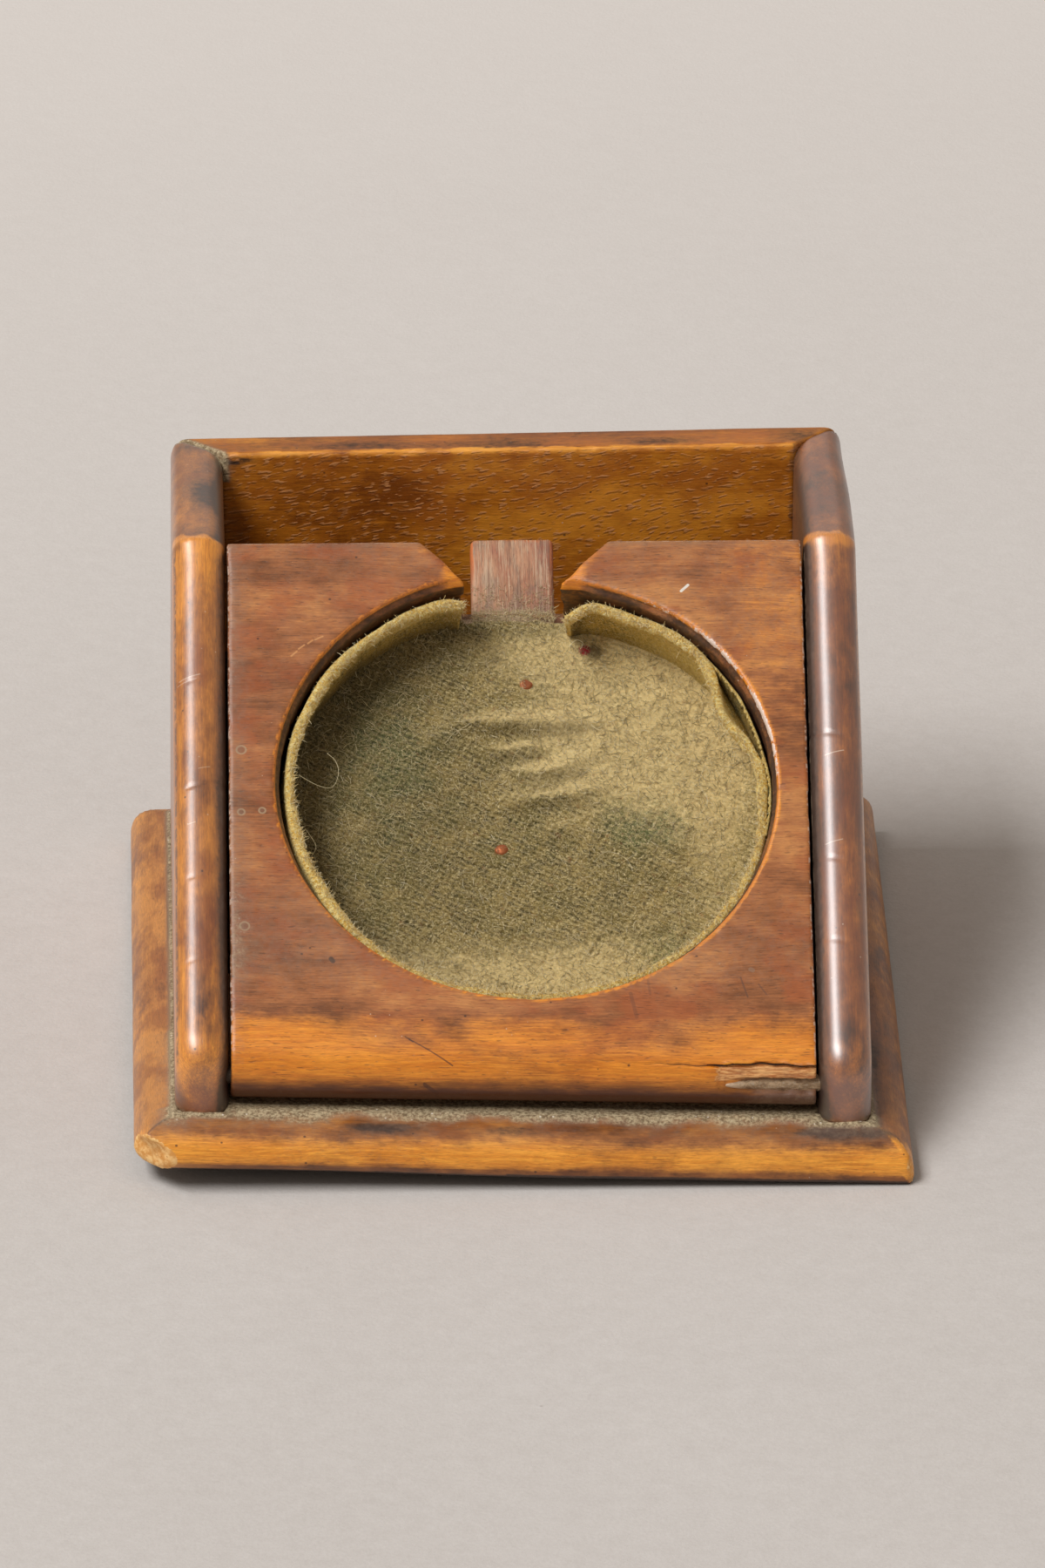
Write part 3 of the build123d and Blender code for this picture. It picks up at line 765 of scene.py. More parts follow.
# ------------------------------------------------------------------ materials of the pieces
def panel_marks(g, p, col, rough, height):
    x, s, n = g.split(p)
    zz = g.add(g.vec("DOT_PRODUCT", p, (0.0, SB, CB)), Z0)
    yy = g.add(g.vec("DOT_PRODUCT", p, (0.0, CB, -SB)), Y0)
    for cx, cs, r in ((-29.8, 39.1, 0.50), (-27.6, 31.4, 0.34), (-29.85, 31.2, 0.36), (-29.6, 16.8, 0.50)):
        d = g.vec("DISTANCE", g.vec("MULTIPLY", p, (1, 1, 0)), (cx, cs, 0))
        ring = g.remap(g.math("ABSOLUTE", g.math("SUBTRACT", d, r)), 0.05, 0.16, 0.75, 0.0)
        col = g.mix(ring, col, lin(178, 150, 116))
        col = g.mix(g.remap(d, r * 0.6, r, 0.5, 0.0), col, lin(112, 84, 66))
    marks = (
        (18.0, 59.2, 18.75, 59.95, 0.11, (244, 238, 226), 1.0),
        (-12.2, 2.9, -7.6, 0.2, 0.03, (74, 44, 34), 0.75),
        (-12.6, 3.2, -11.8, 2.6, 0.05, (66, 40, 28), 0.6),
        (-23.5, 52.0, -22.9, 52.5, 0.05, (214, 150, 90), 0.8),
        (-22.5, 52.7, -22.0, 53.1, 0.06, (214, 150, 90), 0.7),
        (-21.7, 53.2, -20.9, 53.6, 0.06, (214, 150, 90), 0.8),
        (-24.3, 51.1, -23.7, 51.7, 0.06, (214, 150, 90), 0.8),
        (8.6, 16.2, 8.9, 11.0, 0.02, (206, 156, 112), 0.35),
        (-20.4, 12.8, -20.2, 12.5, 0.22, (44, 28, 24), 0.8),
        (24.4, 12.0, 24.6, 11.9, 0.22, (150, 116, 92), 0.6),
        (-10.6, -1.3, -9.2, -1.9, 0.10, (60, 34, 16), 0.7),
        (11.5, 8.9, 12.1, 6.0, 0.16, (88, 56, 42), 0.35),
        (13.4, 10.5, 13.6, 8.8, 0.10, (88, 56, 42), 0.3),
        (23.3, 11.0, 24.0, 8.6, 0.05, (92, 60, 46), 0.6),
        (25.2, 10.2, 26.0, 9.0, 0.05, (92, 60, 46), 0.5),
    )
    for ax, ay, bx, by, w, c, k in marks:
        m = g.math("MULTIPLY", g.seg(p, ax, ay, bx, by, w, 0.08), k)
        col = g.mix(m, col, lin(*c))
    # pale worn arrises: the two sides, the top edge, and the rim at the upper right
    chip = g.grain(p, (1.5, 1.5, 1.5), 3.0, 0.7)
    ax_ = g.math("ABSOLUTE", x)
    top = g.remap(n, -1.62, -1.42, 0.0, 1.0)
    m = g.math("MULTIPLY", g.remap(ax_, 30.88, 31.04, 0.0, 1.0), top)
    m = g.math("MULTIPLY", m, g.remap(chip, 0.50, 0.60, 0.0, 0.75))
    col = g.mix(m, col, lin(214, 186, 166))
    m = g.math("MULTIPLY", g.remap(s, 65.42, 65.58, 0.0, 1.0), top)
    m = g.math("MULTIPLY", m, g.remap(chip, 0.46, 0.62, 0.0, 0.6))
    col = g.mix(m, col, lin(196, 160, 134))
    rim = g.remap(g.math("ABSOLUTE", g.math("SUBTRACT", g.attr("rimd"), 0.12)), 0.06, 0.22, 1.0, 0.0)
    rim = g.math("MULTIPLY", rim, g.remap(n, -1.95, -1.60, 0.0, 1.0))
    col = g.mix(g.math("MULTIPLY", rim, g.remap(chip, 0.40, 0.58, 0.10, 0.85)), col, lin(222, 130, 46))
    col = g.mix(g.remap(g.add(g.attr("arris"), (chip, 0.5, 1.1)), 0.46, 0.62, 0.0, 0.92), col, lin(236, 216, 202))
    # painted shade: the front is painted darkest where it turns under, away from the light
    low = g.math("MULTIPLY", g.remap(g.add(zz, (g.grain(p, (0.3, 1.2, 1.2), 3.0, 0.6), 0.5, 1.6)), 9.9, 7.6, 0.0, 0.97), g.remap(yy, -38.2, -38.8, 0.0, 1.0))
    col = g.mix(low, col, lin(72, 30, 2))
    # the broken place
    line = g.add(ZC, g.math("MULTIPLY", g.math("SINE", g.math("MULTIPLY", x, 0.55)), 0.10), g.math("MULTIPLY", g.math("SINE", g.math("MULTIPLY", x, 2.3)), 0.05))
    up_ = g.math("SUBTRACT", zz, line)
    front = g.remap(yy, -38.2, -38.8, 0.0, 1.0)
    fib = g.grain(p, (0.8, 6.0, 6.0), 3.0, 0.65)
    rag = g.grain(p, (1.6, 2.5, 2.5), 3.0, 0.65)
    in_ledge = g.math("MULTIPLY", g.remap(g.add(x, (rag, 0.5, 1.6)), 20.3, 20.8, 0.0, 1.0), g.remap(up_, -0.02, -0.10, 0.0, 1.0))
    in_ledge = g.math("MULTIPLY", in_ledge, g.remap(zz, 9.35, 9.50, 0.0, 1.0))
    in_ledge = g.math("MULTIPLY", in_ledge, front)
    ledge = g.mix(g.remap(fib, 0.36, 0.62), lin(186, 112, 54), lin(242, 184, 118))
    ledge = g.mix(g.remap(g.grain(p, (0.22, 0.8, 0.8), 3.0, 0.6), 0.46, 0.62, 0.0, 0.55), ledge, lin(158, 98, 60))
    col = g.mix(in_ledge, col, ledge)
    # the broken hollow: dark brown, partly painted shade under the splinter
    pit = g.attr("pit")
    col = g.mix(pit, col, g.mix(g.remap(rag, 0.36, 0.60), lin(64, 42, 22), lin(132, 100, 66)))
    lips = g.math("ADD", g.math("MULTIPLY", g.remap(x, 20.9, 21.5, 0.0, 1.0), g.remap(x, 24.7, 23.8, 0.0, 1.0)), g.remap(x, 27.0, 28.6, 0.0, 0.8))
    band = g.math("MULTIPLY", g.remap(up_, 0.02, 0.10, 0.0, 1.0), g.remap(g.add(up_, (rag, 0.5, 0.9)), 0.50, 0.30, 0.0, 1.0))
    m = g.math("MULTIPLY", g.math("MULTIPLY", lips, band), front)
    col = g.mix(m, col, g.mix(g.remap(x, 24.0, 28.0), lin(238, 160, 44), lin(222, 150, 92)))
    half = g.remap(x, 18.8, 21.2, 0.030, 0.115)
    ck = g.math("SUBTRACT", g.math("ABSOLUTE", up_), half)
    ck = g.math("MULTIPLY", g.remap(ck, 0.03, -0.02, 0.0, 0.92), g.math("MULTIPLY", front, g.remap(g.add(x, (rag, 0.5, 4.0)), 12.0, 16.5, 0.0, 1.0)))
    col = g.mix(ck, col, lin(24, 13, 8))
    return col, rough, height


def cheek_marks(scratches, chips):
    def extra(g, p, col, rough, height):
        s, nn, x = g.split(p)
        q = g.join(s, x)
        for sx, x0, x1, w, c, k in scratches:
            m = g.math("MULTIPLY", g.seg(q, sx, x0, sx + 0.25 * (x1 - x0), x1, w, 0.06), k)
            col = g.mix(m, col, lin(*c))
        chip = g.grain(p, (1.2, 1.6, 1.6), 3.0, 0.7)
        for lo, hi, c, k in chips:
            band = g.math("MULTIPLY", g.remap(x, lo - 0.06, lo + 0.04, 0.0, 1.0), g.remap(x, hi - 0.04, hi + 0.06, 1.0, 0.0))
            m = g.math("MULTIPLY", band, g.remap(chip, 0.40, 0.56, 0.15, k))
            m = g.math("MULTIPLY", m, g.math("MULTIPLY", g.remap(g.attr("slope"), 0.3, 0.7), g.remap(nn, -2.5, -2.1, 0.0, 1.0)))
            col = g.mix(m, col, lin(*c))
        return col, rough, height

    return extra


def lath_marks(g, p, col, rough, height):
    """Grey and red, scored along its length, with dust at its foot."""
    s, x, n = g.split(p)
    blue = g.grain(p, (0.16, 0.55, 0.55), 4.0, 0.65)
    col = g.mix(g.remap(blue, 0.50, 0.64, 0.0, 0.62), col, lin(134, 112, 96))
    a = g.grain(g.vec("ADD", p, (2.0, 9.0, 4.0)), (0.13, 3.4, 0.4), 3.0, 0.68)
    b = g.grain(g.vec("ADD", p, (8.0, 1.0, 6.0)), (0.35, 5.2, 0.4), 3.0, 0.68)
    m = g.math("MAXIMUM", g.remap(a, 0.54, 0.62, 0.0, 0.62), g.remap(b, 0.54, 0.63, 0.0, 0.55))
    col = g.mix(m, col, lin(210, 182, 152))
    col = g.mix(g.remap(a, 0.44, 0.36, 0.0, 0.5), col, lin(98, 66, 48))
    upper = g.remap(g.add(s, (blue, 0.5, 6.0)), 66.0, 71.5, 0.15, 1.0)
    left = g.math("MULTIPLY", g.remap(g.add(x, (blue, 0.5, 1.2)), -4.0, -4.2, 0.0, 0.9), upper)
    col = g.mix(left, col, lin(220, 124, 66))
    right = g.math("MULTIPLY", g.remap(g.add(x, (blue, 0.5, 1.2)), 4.25, 4.42, 0.0, 0.75), upper)
    col = g.mix(right, col, lin(196, 108, 64))
    return col, g.math("ADD", rough, 0.1), g.math("ADD", height, g.math("MULTIPLY", m, -0.6))


MAT_PANEL = wood(
    "panel_wood",
    ((120, 68, 30), (170, 104, 56), (204, 136, 74)),
    amber=(246, 156, 44),
    red=(164, 82, 34),
    gloss=0.42,
    coat=0.25,
    coat_rough=0.36,
    figure=0.6,
    pores=0.45,
    extra=panel_marks,
    seed=1.0,
)
MAT_CHEEK_L = wood(
    "left_cheek_wood",
    ((90, 46, 12), (156, 90, 30), (206, 128, 46)),
    amber=(244, 158, 40),
    red=(140, 68, 20),
    gloss=0.40,
    coat=1.0,
    coat_rough=0.35,
    coat_ior=1.9,
    figure=0.6,
    streaks=0.9,
    mottling=1.15,
    pores=0.25,
    relief=0.7,
    extra=cheek_marks(
        ((47.5, -36.4, -34.2, 0.03, (232, 206, 180), 0.42), (47.0, -36.6, -34.6, 0.02, (232, 206, 180), 0.35), (36.0, -34.4, -33.2, 0.02, (228, 196, 160), 0.4), (29.0, -35.6, -34.8, 0.03, (228, 196, 160), 0.5)),
        ((-37.3, -36.95, (206, 122, 46), 0.9), (-36.95, -36.75, (92, 50, 24), 0.8)),
    ),
    seed=2.0,
)
MAT_CHEEK_R = wood(
    "right_cheek_wood",
    ((80, 38, 6), (138, 72, 20), (188, 108, 34)),
    amber=(232, 146, 40),
    red=(126, 60, 20),
    gloss=0.40,
    coat=1.0,
    coat_rough=0.37,
    coat_ior=2.3,
    figure=0.6,
    streaks=0.9,
    mottling=1.15,
    pores=0.25,
    relief=0.7,
    extra=cheek_marks(
        ((38.0, 33.0, 35.0, 0.03, (232, 206, 180), 0.6), (27.0, 32.8, 34.6, 0.03, (232, 206, 180), 0.5)),
        ((31.30, 31.50, (226, 198, 164), 0.85), (36.85, 37.15, (206, 140, 74), 0.75)),
    ),
    seed=7.0,
)
MAT_BACK = wood(
    "back_wood",
    ((138, 72, 10), (194, 114, 22), (232, 150, 42)),
    amber=(250, 172, 62),
    red=(178, 98, 26),
    gloss=0.46,
    coat=0.12,
    figure=1.0,
    pores=0.6,
    dashes=True,
    seed=3.0,
)
MAT_BASE = wood(
    "base_wood",
    ((98, 54, 22), (160, 98, 44), (204, 136, 66)),
    amber=(255, 174, 62),
    red=(142, 78, 34),
    bare=(255, 208, 138),
    gloss=0.42,
    coat=0.25,
    coat_rough=0.36,
    streaks=0.6,
    mottling=1.2,
    figure=0.5,
    pores=0.3,
    seed=4.0,
)
MAT_INNER = wood(
    "inner_wood",
    ((120, 76, 44), (152, 102, 62), (178, 128, 82)),
    amber=(184, 130, 80),
    red=(140, 88, 56),
    gloss=0.60,
    coat=0.0,
    seed=5.0,
)
MAT_LATH = wood(
    "lath_wood",
    ((138, 94, 70), (182, 130, 98), (206, 158, 124)),
    amber=(226, 132, 66),
    red=(164, 96, 76),
    gloss=0.55,
    coat=0.0,
    extra=lath_marks,
    seed=6.0,
)


def base_attrs(P, N, f, **kw):
    n = len(P)
    z = np.zeros(n)
    out = {"wear": z, "dark": z, "dust": z, "bare": z, "tone": z, "gco": P}
    out.update(kw)
    return out


# ------------------------------------------------------------------ front panel
V, Q = surface_nets(
    f_panel, (-31.5, -7.4, -12.9), (31.5, 66.5, -0.6), 0.36,
    (((19.8, 31.2, 0.18),), ((-2.4, 1.4, 0.18),), ((-12.9, -4.6, 0.62), (-4.6, -0.9, 0.19))),
)
V, N = project(f_panel_fine, V)
x, s, n = V.T
cvx = convexity(f_panel, V, N, 0.7)
hole_d = np.hypot(x - HOLE[0], s - HOLE[1]) - hole_edge(x, s)
face = smooth(0.6, 0.95, N[:, 2])
W3 = to_world(x, s, n)
theta = np.degrees(np.arctan2(x - HOLE[0], s - HOLE[1]))
wall = (hole_d < 0.30) & (n < -1.55)
tipw = wear_tip(x, s)
notch_d = np.abs(sd_poly(x, s, NOTCH))
wear = 0.06 + 0.90 * smooth(8.5, 2.2, s) * (0.85 + 0.35 * noise(x * 0.08, s * 0.3, 0 * x, 59)) + 0.10 * smooth(-0.5, -4.0, s)
wear += 1.0 * smooth(0.12, 0.40, cvx) * (hole_d < 1.0) * (hole_d > -0.6) * (n > -1.8)
wear += 0.55 * smooth(0.9, 0.15, np.abs(hole_d)) * face * (0.6 + noise(x * 0.5, s * 0.5, 0 * x, 55)) * smooth(30, 80, theta)
wear += 1.15 * tipw
wear += 0.80 * smooth(2.2, 0.1, notch_d) * (s > 59) * (np.abs(x) < 13) * (0.55 + 0.6 * noise(x * 0.7, s * 0.7, 0 * x, 56))
wear += 0.30 * smooth(10, 30, x) * smooth(30, 60, s) + 0.14 * smooth(6, 28, x)
wear -= 0.20 * smooth(20, 62, s) * (1 - smooth(8, 26, x))
# dirt and painted shade on the walls of the opening, darkest on the upper wall that faces away from the light
dark = np.where(wall, 0.78 + 0.20 * noise(x * 0.4, s * 0.4, n * 0.8, 51), 0.04)
dark = np.where((hole_d < 1.2) & (N[:, 2] < 0.35) & (n < -1.5) & (s > 40), 0.85, dark)
# painted shade where the front turns under at the bottom
low_edge = smooth(8.6, 6.6, W3[:, 2]) * (s < 10)
dark = np.maximum(dark, 0.42 * low_edge)
# painted shade on the panel's sides, in the narrow gaps beside the cheeks
dark = np.maximum(dark, 0.80 * smooth(0.55, 0.9, np.abs(N[:, 0])) * (np.abs(x) > 30))
dark = np.maximum(dark, 0.42 * smooth(63.6, 65.8, s) * (1 - 0.5 * noise(x * 0.3, 0 * x, 0 * x, 52)))
dark = np.maximum(dark, 0.36 * smooth(-26.0, -30.5, x) * smooth(2, 12, s) * (0.8 + 0.6 * noise(x * 0.4, s * 0.12, 0 * x, 57)))
# painted shade on faces that turn under or away
dark = np.maximum(dark, 0.55 * (N[:, 2] < -0.5))
dark *= 1 - 0.85 * tipw * (n > -2.4)
# painted shadow on the notch wall below the horns
dark = np.maximum(dark, 0.62 * (np.abs(x) < 6.2) * (s > 57.5) * (n < -2.4))
gz = gouge(x, W3[:, 1], W3[:, 2])
pit = smooth(0.30, 0.75, gz) * (x > 20) * 0.85
dark = np.maximum(dark, 0.5 * smooth(8.6, 8.2, W3[:, 2]) * smooth(20, 23, x) * (s < 5))
arris = (
    smooth(0.55, 0.18, np.abs(hole_d + 0.05)) * (n > -1.75) * smooth(24, 34, theta) * smooth(100, 80, theta) * (0.66 + 0.3 * noise(x * 0.6, s * 0.6, 0 * x, 58))
)
dust = 0.10 * smooth(0.2, 0.6, low_edge) + 0.26 * smooth(-28.0, -30.9, x) * face + 0.35 * smooth(8.7, 8.3, W3[:, 2]) * smooth(22, 26, x) * (s < 5)
dust += 0.20 * smooth(64.5, 65.8, s) * face
dust += face * smooth(5.0, 13.0, s) * (0.24 + 0.12 * noise(x * 0.07, s * 0.07, 0 * x, 60) - 0.10 * smooth(8, 28, x))
tone = 0.6 * noise(x * 0.03, s * 0.05, 0 * x, 54) - 0.45 * smooth(35, 62, s) * (x < 8) + 0.35 * smooth(0, 22, x)
# painted shade: a darker tone where the front turns under
tone -= 1.1 * smooth(11.2, 8.0, W3[:, 2]) * (s < 10)
panel = make(
    "front_panel_wood", W3, Q, MAT_PANEL, "leaf", "panel_wood", "front_panel",
    base_attrs(V, N, None, wear=wear, dark=dark, dust=dust, tone=tone, arris=arris, pit=pit, rimd=np.clip(hole_d, -3, 3)),
)


# ------------------------------------------------------------------ cheeks
def build_cheek(side):
    name = "left" if side < 0 else "right"
    x0, x1 = (30.8, 37.8) if side > 0 else (-37.8, -30.8)
    f = f_cheek_fine(side)
    V, Q = surface_nets(f_cheek(side), (x0, -42.9, 4.4), (x1, 43.1, 51.2), 0.36)
    V, N = project(f, V)
    x, y, z = V.T
    s = (y - Y0) * CB + (z - Z0) * SB
    nn = -(y - Y0) * SB + (z - Z0) * CB
    a = np.abs(x)
    slope = smooth(Y_CREST + 1.0, Y_CREST - 1.0, y)
    top = (1 - slope) * smooth(44.0, 47.8, z)
    slope = slope * smooth(-6.0, -2.6, nn)
    wear = 0.22 + 0.16 * noise(x * 0.3, y * 0.05, z * 0.05, 61 + side)
    kink = y - Y_CREST + 0.6 - 0.5 * np.abs(a - 34.3) + 0.7 * noise(x * 0.8, 0 * x, 0 * x, 69 + side)
    arch = (1 - smooth(0.0, 1.5, np.abs(kink))) * smooth(47.6, 49.2, z)
    wear += 1.1 * arch
    gold = smooth(-9.5, -1.0, kink) * smooth(1.0, -1.0, kink)
    wear += (0.60 if side < 0 else 0.42) * gold * smooth(36.6, 35.0, a)
    wear += 0.50 * smooth(8, -3, s) * smooth(7, 13, z) * (y < 0)
    wear -= 0.25 * top
    wear += 0.35 * top * np.clip(noise(x * 0.55, y * 0.10, 0 * x, 66 + side), 0, 1) * (a < 36.0) * 1.6
    inner = smooth(0.3, 0.9, -np.sign(side) * N[:, 0]) * (a < 33.0)
    outer = smooth(0.3, 0.9, np.sign(side) * N[:, 0])
    dark = 0.06 + (0.62 if side < 0 else 0.30) * top * (0.60 + 0.9 * noise(x * 0.3, y * 0.12, z * 0.2, 63 + side))
    streak = np.clip(noise(x * 0.8 + 5, s * 0.04, nn * 0.5, 65 + side) + 0.15, 0, 1)
    dark += 0.42 * (1 - smooth(0, 9, z - 5.0)) * smooth(0.2, 0.8, np.abs(N[:, 0]))
    dark += 0.22 * (1 - smooth(0, 5, z - 5.0)) * (y < -40)
    # painted shade on the inner faces, which look onto the panel
    dark += 0.72 * inner
    dark *= 1 - 0.85 * arch
    if side < 0:
        # left cheek: darker patches on the inner half of the slope, partly painted shade away from the light, with
        # amber flakes low down; painted light as extra amber on the outer half, which faces the light
        rub = 0.55 + 0.7 * noise(x * 0.45, s * 0.12, 0 * x, 67)
        dark += 0.50 * smooth(34.4, 32.2, a) * smooth(2, 12, s) * smooth(50, 38, s) * rub * slope
        wear += 0.30 * smooth(34.0, 32.5, a) * smooth(22, 12, s) * slope + 0.45 * smooth(34.6, 36.4, a) * slope
    else:
        dark += 0.62 * streak * smooth(34.9, 35.7, a) * smooth(36.9, 36.5, a) * slope * smooth(4, 12, s)
        dark += 0.30 * smooth(32.6, 31.7, a) * slope * smooth(0, 10, s)
    bare = np.zeros(len(V))
    if side < 0:
        q = (-(x + 37.2) * 0.8 - (y + 42.2) * 0.62 - (z - 5.0) * 0.55) + 1.25
        bare = 0.30 * (np.abs(q) < 0.25)
        dark = np.where(np.abs(q) < 0.25, 0.45, dark)
    m = np.abs((y - a - 5.0) / math.sqrt(2))
    dust = 0.13 * top * (1 + 0.5 * noise(x * 0.4, y * 0.15, 0 * x, 62 + side)) + (0.85 * smooth(0.75, 0.2, m) * (z > 47.5) if side < 0 else 0.10 * (m < 0.3) * (z > 49.0))
    dust = dust + 0.60 * (1 - smooth(0.1, 1.1, z - 5.0)) * outer + 0.25 * inner * slope
    if side > 0:
        dark = np.where(m < 0.30, np.maximum(dark, 0.55), dark)
    tone = 0.5 * noise(x * 0.15, y * 0.03, z * 0.05, 68 + side)
    gco = np.stack([s, nn, x], -1)
    make(
        name + "_cheek_wood", V, Q, MAT_CHEEK_L if side < 0 else MAT_CHEEK_R, "case", "cheek_wood", name + "_cheek",
        base_attrs(V, N, None, wear=wear, dark=np.clip(dark, 0, 1), dust=dust, bare=bare, tone=tone, gco=gco, slope=slope),
    )


build_cheek(-1)
build_cheek(1)

# ------------------------------------------------------------------ back board
V, Q = surface_nets(f_back, (-37.9, 30.6, 4.4), (37.9, 43.0, 51.2), 0.36)
V, N = project(f_back_fine, V)
x, y, z = V.T
on_top = smooth(0.3, 0.9, N[:, 2])
edge_d = np.hypot(y - 36.5, z - 50.2) - 0.16 * noise(x * 0.5, 0 * x, 0 * x, 81) - 0.12 * noise(x * 1.7, 0 * x, 0 * x, 86)
stripe = 1 - smooth(0.16, 0.66, edge_d)
inner_face = smooth(0.5, 0.9, -N[:, 1])
wear = 0.10 * inner_face + 1.25 * stripe * (0.80 + 0.5 * noise(x * 0.25, 0 * x, 0 * x, 82))
wear += 0.26 * on_top * (0.5 + noise(x * 0.07, y * 0.3, 0 * x, 83)) + 1.0 * smooth(36.35, 36.75, np.abs(x)) * (x > 0) * (z > 46)
dark = 0.48 * on_top * (1 - stripe) + 0.30 * on_top * noise(x * 0.12, y * 0.5, z * 0.1, 84)
dark += 0.50 * inner_face * smooth(-26.5, -31.0, x + 0.12 * (z - 50.0))
# painted shadow in a band just below the worn stripe on the front arris
dark += 0.50 * smooth(0.50, 0.75, edge_d) * smooth(1.25, 0.85, edge_d) * (z < 49.9) * (0.7 + 0.5 * noise(x * 0.2, 0 * x, 0 * x, 87))
dark += 0.35 * (N[:, 1] > 0.5)
m = np.abs((np.abs(x) + 5.0 - y) / math.sqrt(2))
dust = 0.95 * smooth(0.85, 0.25, m) * (x < 0) * (z > 47.0) + 0.20 * on_top * smooth(-26, -36, x) + 0.10 * on_top
dark = np.where((m < 0.25) & (x > 0) & (x < 36.0), 0.6, dark)
tone = 0.5 * noise(x * 0.04, 0 * x, z * 0.08, 85) + 0.62 * inner_face * smooth(-22.0, 6.0, x)
make(
    "back_board_wood", V, Q, MAT_BACK, "case", "back_wood", "back_board",
    base_attrs(V, N, None, wear=wear, dark=np.clip(dark, 0, 1), dust=dust, tone=tone, gco=np.stack([x, z, y], -1), plain=smooth(0.1, 0.5, np.maximum(N[:, 2], N[:, 1]))),
)

# ------------------------------------------------------------------ base
V, Q = surface_nets(
    f_base, (-42.3, -47.3, -0.6), (42.3, 47.3, 6.4), 0.52,
    (((-42.3, -35.5, 0.28), (36.5, 42.3, 0.30)), ((-47.3, -36.0, 0.30),), ((3.0, 6.4, 0.34),)),
)
V, N = project(f_base_fine, V)
x, y, z = V.T
rim = np.maximum(np.abs(x) - 37.6, np.abs(y) - 42.6)
front = smooth(-42.4, -44.0, y)
left = (x < -37.6) & (x < y + 5)
wear = 0.12 + 0.98 * front * smooth(4.9, 2.8, z) * smooth(0.5, 1.5, z) * (0.9 + 0.25 * noise(x * 0.10, 0 * x, 0 * x, 94))
wear += 0.45 * smooth(39.0, 41.2, np.abs(x)) * (1 - front) * (0.7 + 0.5 * noise(x * 0.1, y * 0.08, 0 * x, 91))
wear -= 0.9 * smooth(-1.0, 1.0, 0.9 - z)
fd = foot_distance(x, y)
dark = 0.24 * smooth(2.5, 0.4, fd) + 0.16 * smooth(3.4, 1.0, rim) * (0.5 + noise(x * 0.12, y * 0.12, 0 * x, 92))
# painted shade on the underside and the lowest millimetre of the edge
dark += 0.85 * (z < 0.5) + 0.45 * smooth(1.3, 0.4, z)
dark += 0.30 * smooth(3.4, 4.4, z) * front
# painted shadow of the body on the base beside the right cheek
dark += 0.40 * smooth(3.6, 0.4, fd) * (x > 36)
smudge = np.exp(-(((x - 33.0) / 3.2) ** 2 + ((y + 43.6) / 1.1) ** 2))
dark += 0.60 * smudge
under = smooth(-44.4, -41.5, y + 0.7 * noise(x * 0.22, 0 * x, 0 * x, 95) + 0.30 * noise(x * 1.2, y * 1.2, 0 * x, 99)) * smooth(31.6, 30.6, np.abs(x)) * (y < -30)
dark += 0.55 * smooth(-45.3, -44.3, y) * smooth(-42.8, -43.8, y) * np.clip(noise(x * 0.13, y * 0.3, 0 * x, 79) + 0.15, 0, 1)
dust = 0.95 * (1 - smooth(0.0, 1.0, fd)) + 0.40 * (1 - smooth(0.4, 3.0, fd)) * (y < -40)
dust = dust * (z > 4.0) + 0.30 * smooth(4.6, 4.9, z) * (fd < 0)
dust = np.maximum(dust, 0.97 * under * (z > 3.9))
dust += 0.22 * front * smooth(3.6, 4.6, z) * (0.8 + 0.5 * noise(x * 0.08, 0 * x, 0 * x, 96))
dust += 0.28 * smooth(4.2, 0.4, fd) * (x < -36) * (y < -20)
dust += 0.14 * front * smooth(0.55, 0.9, noise(x * 0.06 + 3, 0 * x, 0 * x, 97) + 0.5)
cbk = corner_break(x, y, z)
inside = (x < -35) & (y < -39.5)
bare = 1.1 * (1 - smooth(0.20, 0.45, np.abs(cbk))) * inside
kq = np.abs(knock(x, y, z))
seam = np.abs((np.abs(x) - 41.5) - (np.abs(y) - 46.5)) / math.sqrt(2)
wear += 1.0 * (1 - smooth(0.15, 0.55, kq)) * (x > 36) * (y < -40) + 1.0 * (1 - smooth(0.10, 0.50, seam + 0.15 * noise(x, y, 0 * x, 98))) * (x > 37.5) * (y < -42) * (z > 1.0)
bare = np.maximum(bare, 0.50 * (1 - smooth(0.10, 0.35, kq)) * (x > 36) * (y < -40))
dark += 0.35 * (1 - smooth(0.05, 0.30, seam)) * (rim > 0) * (x < 36)
dark = np.where(bare > 0.4, 0.0, dark)
dust = np.where(bare > 0.4, 0.0, dust)
# painted light: the left side of the base gets a lighter tone, as it faces the light
tone = 0.6 * noise(x * 0.03, y * 0.03, 0 * x, 93) + 1.1 * left
side_grain = (np.abs(x) - 37.6 > np.abs(y) - 42.6) & (np.abs(x) > 37.6)
gco = np.where(side_grain[:, None], np.stack([y, x, z], -1), np.stack([x, y, z], -1))
make(
    "base_plate_wood", V, Q, MAT_BASE, "case", "base_wood", "base_plate",
    base_attrs(V, N, None, wear=np.clip(wear, 0, 1.2), dark=np.clip(dark, 0, 1), dust=np.clip(dust, 0, 1), bare=bare, tone=tone, gco=gco),
)


